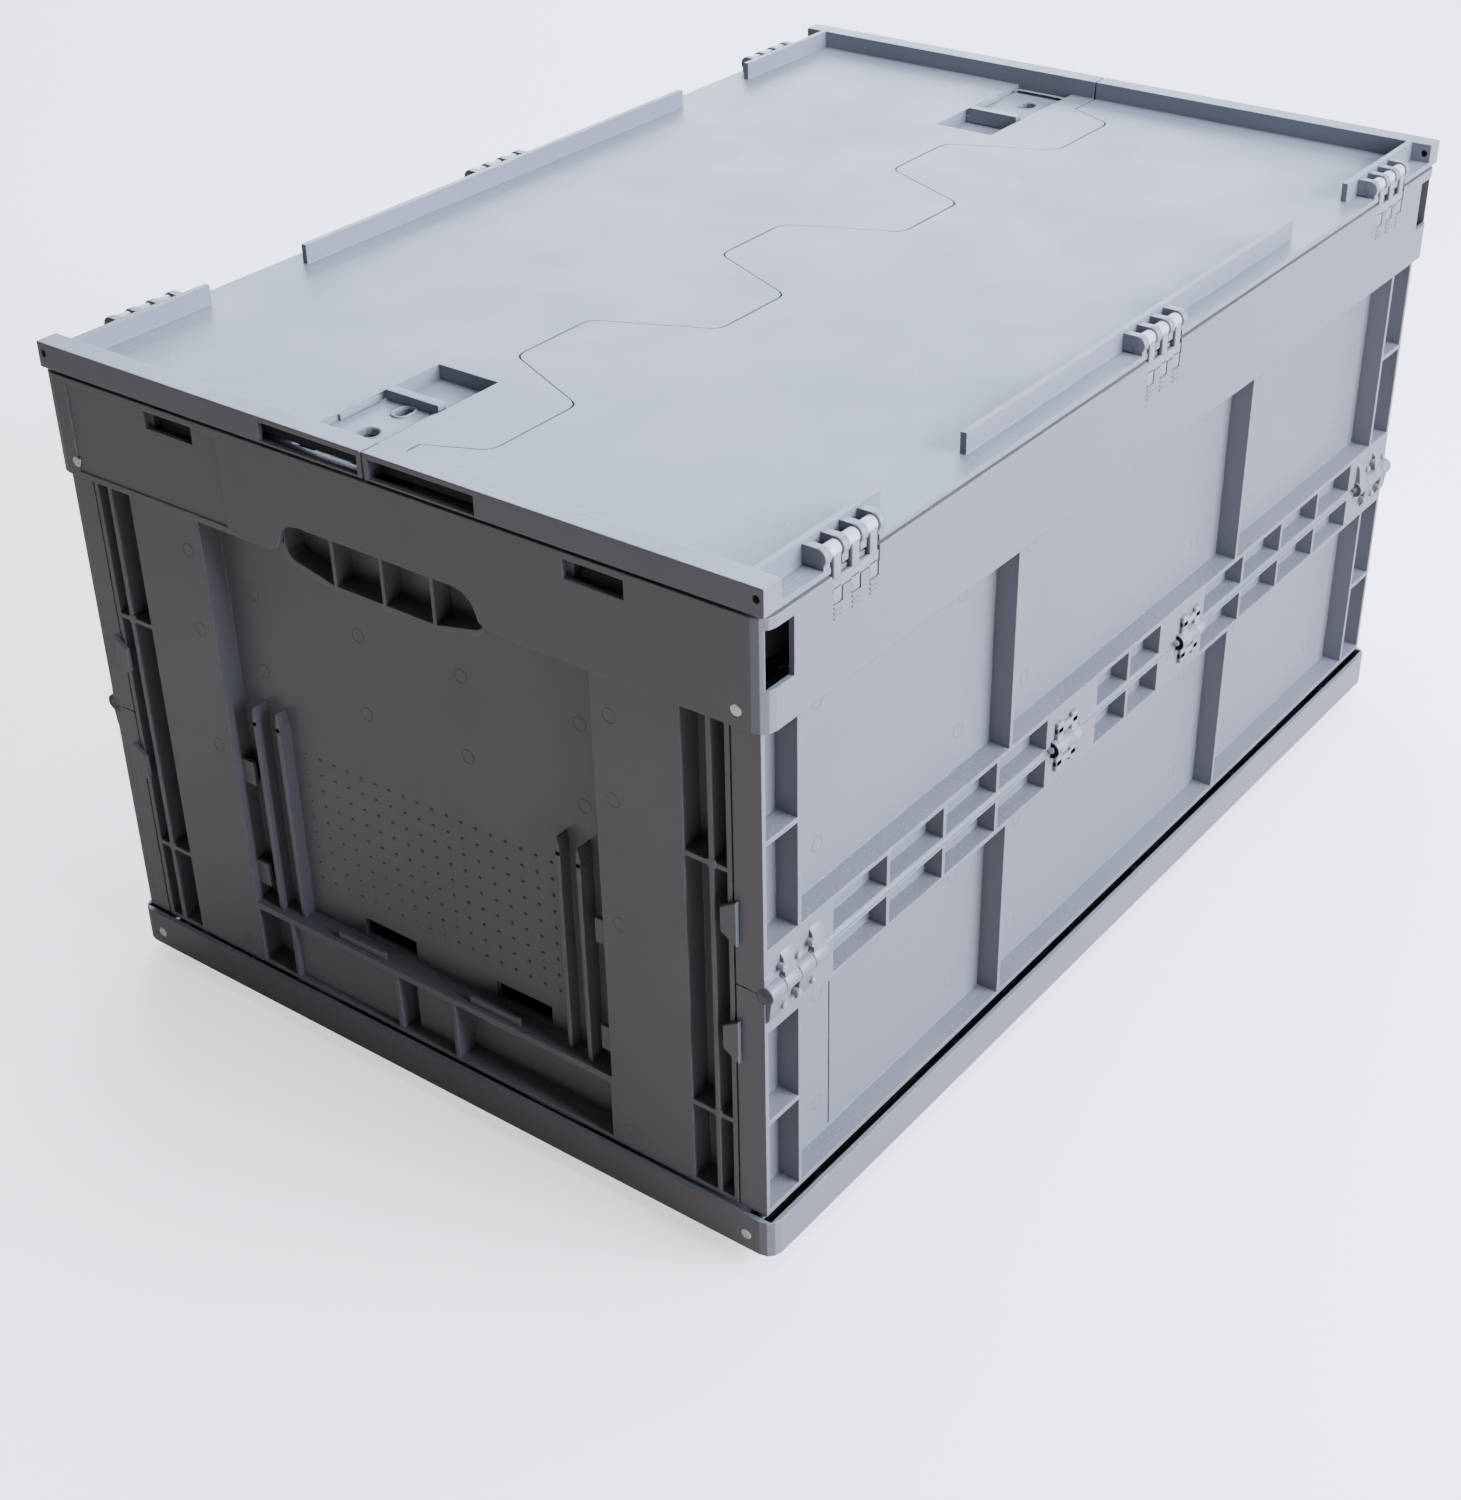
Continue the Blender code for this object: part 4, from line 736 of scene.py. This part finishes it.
@dataclass
class SideWalls:
    """The two folding long walls with their middle hinges."""

    axis_y: float = 195.4 * MM
    axis_z: float = 149.5 * MM
    knuckle_radius: float = 4.4 * MM
    knuckle_width: float = 10 * MM
    end_gap: float = 3 * MM
    clip_width: float = 8 * MM
    clip_offset: float = 61 * MM
    play: float = 0.3 * MM
    strap_face: float = 195.0 * MM
    strap_proud: float = 197.2 * MM
    strap_step: float = 6.4 * MM
    strap_half_width: float = 2.6 * MM
    strap_half_height: float = 13 * MM
    sleeve_half_width: float = 2.9 * MM
    sleeve_radius: float = 4.55 * MM
    cross_bar_rise: float = 9 * MM
    cross_bar_half: tuple[float, float] = (9 * MM, 1.8 * MM)
    bay_floor: float = 184.2 * MM
    mark_columns: tuple[int, ...] = (-245, -138, -82, 82, 138, 245)
    mark_heights: tuple[int, ...] = (52, 112, 190, 258)
    mark_radius: float = 3.5 * MM
    mark_bead: float = 0.12 * MM

    def knuckle_spans(self) -> list[tuple[float, float]]:
        """The X spans of every knuckle on one side."""
        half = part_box("base_tray")[1][0]
        spans = []
        for end in End:
            for index in range(4):
                outer = half - self.end_gap - index * self.knuckle_width
                inner = outer - self.knuckle_width + self.play
                spans.append((end.value * outer, end.value * inner))
            for index in (-1, 0, 1):
                middle = end.value * self.clip_offset + index * self.clip_width
                reach = (self.clip_width - self.play) / 2
                spans.append((middle - reach, middle + reach))
        return spans

    def fit(self, finishes: Finishes) -> None:
        """Dresses the walls and adds smooth knuckles, straps and mould marks.

        Args:
            finishes: The finishes.
        """
        for side in Side:
            word = side.name.lower()
            for level in ("upper", "lower"):
                dress(f"{level}_side_wall_{word}", finishes.walls)
            sleeves = []
            straps = []
            for span in self.knuckle_spans():
                centre = (side.value * self.axis_y, self.axis_z)
                sleeves.append(bar_between("X", span, centre, self.knuckle_radius, 0.5 * MM))
            for end in End:
                middle = end.value * self.clip_offset
                straps += self.clip_straps(middle, side)
                sleeves += self.corner_straps(end, side)
                straps += self.corner_posts(end, side)
            make_piece(f"mid_hinge_knuckles_{word}", sleeves, finishes.walls, "shell")
            make_piece(f"mid_hinge_clips_{word}", straps, finishes.clip, "shell")
            self.add_marks(side, finishes)
        LOG.info("side walls dressed")

    def corner_straps(self, end: End, side: Side) -> list[Shell]:
        """The straps that carry the corner knuckles, one up and the next one down.

        Args:
            end: The corner's end.
            side: The wall.

        Returns:
            Their shells.
        """
        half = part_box("base_tray")[1][0]
        root = side.value * (self.axis_y - 0.8 * MM)
        proud = side.value * (self.axis_y + 3.1 * MM)
        shells = []
        for index in range(4):
            outer = half - self.end_gap - index * self.knuckle_width
            low_x = end.value * (outer - self.knuckle_width + self.play + 0.9 * MM)
            high_x = end.value * (outer - 0.9 * MM)
            turn = 1 if index % 2 else -1
            tip = proud - side.value * 1.6 * MM
            profile = np.array([(root, 0.0), (proud, 0.0), (tip, 13 * MM), (root, 16 * MM)])
            profile[:, 1] = self.axis_z + turn * profile[:, 1]
            shells.append(upright_prism(profile, "X", (low_x, high_x), 0.5 * MM))
        return shells

    def corner_posts(self, end: End, side: Side) -> list[Shell]:
        """The short posts with round heads that keep the corner knuckles on their pin.

        Args:
            end: The corner's end.
            side: The wall.

        Returns:
            Their shells.
        """
        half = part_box("base_tray")[1][0]
        face = side.value * (self.axis_y - 0.6 * MM)
        proud = side.value * (self.axis_y + 3.4 * MM)
        shells = []
        for index in (1, 2, 3):
            x = end.value * (half - self.end_gap - index * self.knuckle_width + self.play / 2)
            for turn in (-1, 1):
                z = self.axis_z + turn * 9.5 * MM
                shells.append(bar_between("Y", (face, proud), (x, z), 1.7 * MM, 0.5 * MM))
        return shells

    def clip_straps(self, middle: float, side: Side) -> list[Shell]:
        """The H-shaped spring clip over a middle hinge.

        Args:
            middle: X of the clip.
            side: The wall.

        Returns:
            Its shells.
        """
        face = side.value * self.strap_face
        proud = side.value * self.strap_proud
        shells = []
        for step in (-1, 1):
            x = middle + step * self.strap_step
            low = (x - self.strap_half_width, face, self.axis_z - self.strap_half_height)
            high = (x + self.strap_half_width, proud, self.axis_z + self.strap_half_height)
            shells.append(rounded_box(low, high, 0.6 * MM))
            centre = (side.value * self.axis_y, self.axis_z)
            sleeve = (x - self.sleeve_half_width, x + self.sleeve_half_width)
            shells.append(bar_between("X", sleeve, centre, self.sleeve_radius, 0.5 * MM))
        reach, thick = self.cross_bar_half
        for turn in (-1, 1):
            z = self.axis_z + turn * self.cross_bar_rise
            low = (middle - reach, face, z - thick)
            high = (middle + reach, proud, z + thick)
            shells.append(rounded_box(low, high, 0.6 * MM))
        return shells

    def add_marks(self, side: Side, finishes: Finishes) -> None:
        """Adds ejector pin circles on the bay floors.

        Args:
            side: The wall.
            finishes: The finishes.
        """
        floor = side.value * self.bay_floor
        marks = []
        for x in self.mark_columns:
            for z in self.mark_heights:
                place = (x * MM, floor, z * MM)
                marks.append(side_ring(place, side.value, self.mark_radius, self.mark_bead))
        name = f"side_ejector_marks_{side.name.lower()}"
        make_piece(name, marks, finishes.walls, "shell")


@dataclass
class TopFrame:
    """The frame under the lid, with its rod heads; the teeth that hold the hinge clips are built with each
    hinge clip.
    """

    rod_y: float = 186 * MM
    rod_z: float = 282 * MM

    def fit(self, finishes: Finishes) -> None:
        """Dresses the frame and adds the rod heads.

        Args:
            finishes: The finishes.
        """
        dress("top_frame", finishes.body)
        for word in ("left", "right"):
            for level in ("base", "frame"):
                dress(f"{level}_hinge_rod_{word}", finishes.steel)
            for index in range(4):
                dress(f"side_hinge_pin_{word}_{index + 1}", finishes.steel)
            for index in range(3):
                dress(f"lid_hinge_pin_{word}_{index + 1}", finishes.steel)
            for end in ("front", "rear"):
                dress(f"end_pivot_pin_{end}_{word}", finishes.steel)
        add_rod_heads("frame_rod_heads", self.rod_y, self.rod_z, 2.7 * MM, finishes.steel)
        LOG.info("top frame dressed")


@dataclass
class EndWall:
    """An end wall, with its label field, rails, hooks and mould marks. Built for the front."""

    face: float = -297 * MM
    floor: float = -285.5 * MM
    dot_columns: int = 18
    dot_rows: int = 9
    dot_pitch: float = 8.7 * MM
    dot_start: float = 89 * MM
    mark_radius: float = 3.4 * MM
    rail_half: float = 1.1 * MM
    rail_levels: tuple[float, float, float] = (170 * MM, 174 * MM, 180 * MM)
    rail_depths: tuple[tuple[int, float], ...] = (
        (-97, 3 * MM),
        (-84, 5 * MM),
        (84, 5 * MM),
        (97, 3 * MM),
    )
    boss_heights: tuple[float, float] = (75.2 * MM, 204.2 * MM)
    boss_radius: float = 2.6 * MM
    teeth_levels: tuple[tuple[int, int], ...] = ((110, 132), (170, 192))
    tooth_root: float = 183.5 * MM
    tooth_tip: float = 175.5 * MM
    tooth_slope: int = 5
    tooth_span: tuple[float, float] = (-299.4 * MM, -297.2 * MM)

    def fit(self, end: End, finishes: Finishes) -> None:
        """Dresses one end wall and adds its fine detail.

        Args:
            end: Which end.
            finishes: The finishes.
        """
        word = end.name.lower()
        dress(f"end_wall_{word}", finishes.walls)
        shells = {
            "label_dots": [self.label_dots()],
            "ejector_marks": self.ejector_marks(),
            "rail_points": self.rail_points(),
        }
        for name, parts in shells.items():
            placed = parts if end is End.FRONT else [turned(part) for part in parts]
            make_piece(f"{word}_{name}", placed, finishes.walls, f"end_{word}")
        teeth = self.locking_teeth()
        placed = teeth if end is End.FRONT else [turned(part) for part in teeth]
        make_piece(f"{word}_locking_teeth", placed, finishes.walls, "shell")
        LOG.info("%s end wall dressed", word)

    def label_dots(self) -> Shell:
        """The grid of small raised dots that a label sits on."""
        across = (np.arange(self.dot_columns) - (self.dot_columns - 1) / 2) * self.dot_pitch
        down = self.dot_start + np.arange(self.dot_rows) * self.dot_pitch
        grid = np.stack(np.meshgrid(across, down), -1).reshape(-1, 2)
        centres = np.column_stack([np.full(len(grid), self.floor), grid])
        return domes(centres, -1, 0.95 * MM, 0.75 * MM)

    def ejector_marks(self) -> list[Shell]:
        """Ejector pin circles on the pilasters and the field."""
        marks = []
        for y in (-121, 121):
            for z in (40, 153, 215, 255):
                marks.append(wall_ring((self.face, y * MM, z * MM), -1, self.mark_radius, 0.14 * MM))
        for y in (-95, -30, 30, 95):
            for z in (196, 236):
                marks.append(wall_ring((self.floor, y * MM, z * MM), -1, self.mark_radius, 0.12 * MM))
        return marks

    def rail_points(self) -> list[Shell]:
        """The pointed tops of the label rails, and the bosses on the edge ribs."""
        shells = []
        root, shoulder, point = self.rail_levels
        for y, depth in self.rail_depths:
            middle = y * MM
            outline = np.array(
                [
                    (middle - self.rail_half, root),
                    (middle + self.rail_half, root),
                    (middle + self.rail_half, shoulder),
                    (middle, point),
                    (middle - self.rail_half, shoulder),
                ]
            )
            span = (self.face + depth, self.floor + 0.5 * MM)
            shells.append(upright_prism(outline, "X", span, 0.2 * MM))
        for y in (-170, 170):
            for z in self.boss_heights:
                span = (self.face - 0.2 * MM, self.face + 4 * MM)
                shells.append(bar_between("X", span, (y * MM, z), self.boss_radius, 0.5 * MM))
        return shells

    def locking_teeth(self) -> list[Shell]:
        """The tapered teeth on the long walls' edges that lie in front of the end wall."""
        shells = []
        for sign in (-1, 1):
            for low, high in self.teeth_levels:
                root = sign * self.tooth_root
                tip = sign * self.tooth_tip
                outline = np.array(
                    [
                        (root, low * MM),
                        (root, high * MM),
                        (tip, (high - self.tooth_slope) * MM),
                        (tip, (low + self.tooth_slope) * MM),
                    ]
                )
                shells.append(upright_prism(outline, "X", self.tooth_span, 0.4 * MM))
        return shells


@dataclass
class LidHalf:
    """One lid half with its hinge arms."""

    side: Side
    axis_y: float = 196 * MM
    axis_z: float = 332 * MM
    hinges: tuple[float, ...] = (-242 * MM, 0.0, 242 * MM)
    pitch: float = 12 * MM
    arm_width: float = 4 * MM

    def fit(self, finishes: Finishes) -> None:
        """Dresses the half and rounds its hinge arms.

        Args:
            finishes: The finishes.
        """
        word = self.side.name.lower()
        dress(f"lid_half_{word}", finishes.lid)
        heads = []
        for hinge in self.hinges:
            for step in (-1.5, -0.5, 0.5, 1.5):
                middle = hinge + step * self.pitch
                reach = self.arm_width / 2 + 0.05 * MM
                span = (middle - reach, middle + reach)
                centre = (self.side.value * self.axis_y, self.axis_z)
                heads.append(bar_between("X", span, centre, 4.08 * MM, 0.5 * MM))
        make_piece(f"lid_arm_heads_{word}", heads, finishes.lid, f"lid_{word}")
        LOG.info("%s lid half dressed", word)


@dataclass
class HingeClip:
    """A hinge clip on the frame's face: a bar, toothed legs and three barrels round the pin."""

    side: Side
    index: int
    hinge: float
    pitch: float = 12 * MM
    barrel_radius: float = 3.3 * MM
    axis_y: float = 196 * MM
    axis_z: float = 332 * MM
    outer: float = 199.8 * MM
    inner: float = 197.75 * MM
    bar_half: float = 15.4 * MM
    bar_levels: tuple[float, float] = (317.1 * MM, 321.9 * MM)
    leg_levels: tuple[float, float] = (311.1 * MM, 318.5 * MM)
    post_levels: tuple[float, float] = (320.8 * MM, 331.5 * MM)
    tooth_start: float = 309.2 * MM
    tooth_pitch: float = 2.2 * MM

    def fit(self, finishes: Finishes) -> None:
        """Builds the clip in place of its CAD node.

        Args:
            finishes: The finishes.
        """
        sign = self.side.value
        bar = (self.hinge - self.bar_half, self.hinge + self.bar_half)
        shells = [self.block(bar, self.bar_levels)]
        barrels = []
        teeth = []
        for step in (-1, 0, 1):
            middle = self.hinge + step * self.pitch
            leg = (middle - 2.9 * MM, middle + 2.9 * MM)
            shells.append(self.block(leg, self.leg_levels))
            shells.append(self.block((middle - 2.4 * MM, middle + 2.4 * MM), self.post_levels))
            centre = (sign * self.axis_y, self.axis_z)
            barrel = (middle - 3.7 * MM, middle + 3.7 * MM)
            barrels.append(bar_between("X", barrel, centre, self.barrel_radius, 0.5 * MM))
            for tooth in range(3):
                low = self.tooth_start - tooth * self.tooth_pitch
                near = (leg[0], sign * (self.outer - 0.3 * MM), low)
                far = (leg[1], sign * (self.outer + 0.75 * MM), low + 1.0 * MM)
                teeth.append(rounded_box(near, far, 0.25 * MM))
        word = f"{self.side.name.lower()}_{self.index}"
        piece = make_piece(f"hinge_clip_{word}", shells, finishes.clip, "shell")
        # The barrels take the paler barrel finish, a painted highlight on their round tops.
        rolls = make_piece(f"hinge_barrels_{word}", barrels, finishes.barrel, "shell")
        make_piece(f"hinge_teeth_{word}", teeth, finishes.body, "shell")
        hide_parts(f"lid_hinge_clip_{word}")
        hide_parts(f"lid_hinge_clip_{word}")

    def block(self, x_span: tuple, z_span: tuple) -> Shell:
        """A flat bar of the clip on the frame's face."""
        sign = self.side.value
        low = (x_span[0], sign * self.inner, z_span[0])
        high = (x_span[1], sign * self.outer, z_span[1])
        return rounded_box(low, high, 0.45 * MM)


@dataclass
class SliderLatch:
    """A slider latch with raised rims round its holes and a ribbed finger bar."""

    end: End
    middle_y: float = 32.5 * MM
    top: float = 324.2 * MM
    oval_x: float = 242.5 * MM
    hole_x: float = 266 * MM

    def fit(self, finishes: Finishes) -> None:
        """Dresses the latch and adds its rims.

        Args:
            finishes: The finishes.
        """
        word = self.end.name.lower()
        dress(f"slider_latch_{word}", finishes.lid)
        sign = self.end.value
        oval = (sign * self.oval_x, self.middle_y, self.top)
        hole = (sign * self.hole_x, self.middle_y - 2 * MM, self.top)
        shells = [
            obround_ring(oval, (5.6 * MM, 4.1 * MM), 3.9 * MM, 0.75 * MM),
            obround_ring(hole, (5.6 * MM, 5.6 * MM), 5.5 * MM, 0.4 * MM),
        ]
        make_piece(f"slider_rims_{word}", shells, finishes.lid, f"slider_{word}")
        LOG.info("%s slider latch dressed", word)


# ----------------------------------------------------------------------------------- the studio


@dataclass
class Softbox:
    """A soft area light."""

    name: str
    place: tuple[float, float, float]
    aim: tuple[float, float, float]
    size: tuple[float, float]
    watts: float
    colour: tuple[float, float, float] = (1.0, 1.0, 1.0)

    def hang(self) -> None:
        """Adds the light, turned towards its aim."""
        data = bpy.data.lights.new(self.name, "AREA")
        data.shape = "RECTANGLE"
        data.size, data.size_y = self.size
        data.energy = self.watts
        data.color = self.colour
        light = bpy.data.objects.new(self.name, data)
        light.matrix_world = looking(self.place, self.aim)
        bpy.context.scene.collection.objects.link(light)


def looking(place: tuple, aim: tuple) -> Matrix:
    """A placement at one point with -Z towards another.

    Args:
        place: Where it stands.
        aim: What it faces.

    Returns:
        The matrix.
    """
    back = np.array(place, float) - np.array(aim, float)
    back /= np.linalg.norm(back)
    right = np.cross([0.0, 0.0, 1.0], back)
    if np.linalg.norm(right) < 1e-6:
        right = np.array([1.0, 0.0, 0.0])
    right /= np.linalg.norm(right)
    up = np.cross(back, right)
    rows = np.column_stack([right, up, back, np.array(place, float)])
    return Matrix([*rows.tolist(), [0.0, 0.0, 0.0, 1.0]])


@dataclass
class Studio:
    """Pale floor, soft lights and the camera."""

    eye: tuple[float, float, float] = (-0.8940, -0.6409, 0.7412)
    right: tuple[float, float, float] = (0.60105, -0.79900, -0.01823)
    up: tuple[float, float, float] = (0.43869, 0.31077, 0.84319)
    back: tuple[float, float, float] = (-0.66805, -0.51480, 0.53730)
    lens: float = 56.8
    sensor: float = 36.0

    def build(self) -> None:
        """Builds the floor, the lights and the camera."""
        self.lay_floor()
        self.light()
        self.place_camera()
        LOG.info("studio ready")

    def lay_floor(self) -> None:
        """Lays a plain pale floor with a faint, fine texture."""
        reach = 40.0
        corners = reach * np.array([(-1, -1, 0), (1, -1, 0), (1, 1, 0), (-1, 1, 0)], float)
        corners[:, 2] = -0.0002
        mesh = bpy.data.meshes.new("floor")
        mesh.from_pydata(corners.tolist(), [], [(0, 1, 2, 3)])
        material = bpy.data.materials.new("floor_paper")
        material.use_nodes = True
        desk = NodeDesk(material.node_tree)
        shader = material.node_tree.nodes["Principled BSDF"]
        place = desk.add("ShaderNodeTexCoord").outputs["Object"]
        tone = desk.add("ShaderNodeHueSaturation")
        tone.inputs["Color"].default_value = (0.97, 0.965, 0.96, 1.0)
        desk.wire(desk.span(desk.noise(place, 3.0, 2.0), (0.3, 0.7), (0.99, 1.01)), tone.inputs["Value"])
        seen = desk.add("ShaderNodeMixRGB")
        light_path = desk.add("ShaderNodeLightPath")
        desk.wire(light_path.outputs["Is Camera Ray"], seen.inputs[0])
        seen.inputs[1].default_value = (0.44, 0.36, 0.29, 1.0)
        desk.wire(tone.outputs["Color"], seen.inputs[2])
        desk.wire(seen.outputs["Color"], shader.inputs["Base Color"])
        shader.inputs["Roughness"].default_value = 0.9
        shader.inputs["Emission Color"].default_value = (1.0, 1.0, 1.0, 1.0)
        glow = desk.math("MULTIPLY", light_path.outputs["Is Camera Ray"], 1.1)
        desk.wire(glow, shader.inputs["Emission Strength"])
        mesh.materials.append(material)
        floor = bpy.data.objects.new("floor", mesh)
        bpy.context.scene.collection.objects.link(floor)

    def light(self) -> None:
        """Hangs the soft lights and sets a dim, even surround."""
        aim = (0.0, 0.0, 0.17)
        lights = [
            Softbox("top_softbox", (0.5, 0.1, 2.2), aim, (2.0, 1.6), 88.0, (0.68, 0.79, 1.0)),
            Softbox("right_softbox", (0.5, -2.3, 1.1), aim, (2.2, 1.3), 330.0, (0.68, 0.78, 1.0)),
            Softbox("rear_softbox", (2.5, 1.9, 1.5), aim, (2.6, 1.6), 145.0, (0.68, 0.79, 1.0)),
        ]
        for item in lights:
            item.hang()
        world = bpy.data.worlds.new("surround")
        world.use_nodes = True
        desk = NodeDesk(world.node_tree)
        back = world.node_tree.nodes["Background"]
        back.inputs["Color"].default_value = (1.0, 0.93, 0.88, 1.0)
        seen = desk.add("ShaderNodeLightPath").outputs["Is Camera Ray"]
        desk.wire(desk.span(seen, (0.0, 1.0), (0.1, 1.6)), back.inputs["Strength"])
        bpy.context.scene.world = world

    def place_camera(self) -> None:
        """Places the camera at a raised corner view."""
        data = bpy.data.cameras.new("camera")
        data.sensor_fit = "VERTICAL"
        data.sensor_height = self.sensor
        data.lens = self.lens
        camera = bpy.data.objects.new("camera", data)
        axes = np.column_stack([self.right, self.up, self.back, self.eye])
        camera.matrix_world = Matrix([*axes.tolist(), [0.0, 0.0, 0.0, 1.0]])
        bpy.context.scene.collection.objects.link(camera)
        bpy.context.scene.camera = camera


@dataclass
class Crate:
    """The whole crate, sub-assembly by sub-assembly."""

    finishes: Finishes

    def build(self) -> None:
        """Dresses the CAD nodes and adds the fine pieces."""
        BaseTray().fit(self.finishes)
        SideWalls().fit(self.finishes)
        TopFrame().fit(self.finishes)
        for end in End:
            EndWall().fit(end, self.finishes)
            SliderLatch(end).fit(self.finishes)
        for side in Side:
            half = LidHalf(side)
            half.fit(self.finishes)
            for index, hinge in enumerate(half.hinges):
                HingeClip(side, index + 1, hinge).fit(self.finishes)


def main() -> None:
    """Builds the crate and its studio."""
    logging.basicConfig(level=logging.INFO)
    Crate(Finishes.mixed()).build()
    Studio().build()


if __name__ == "__main__":
    main()
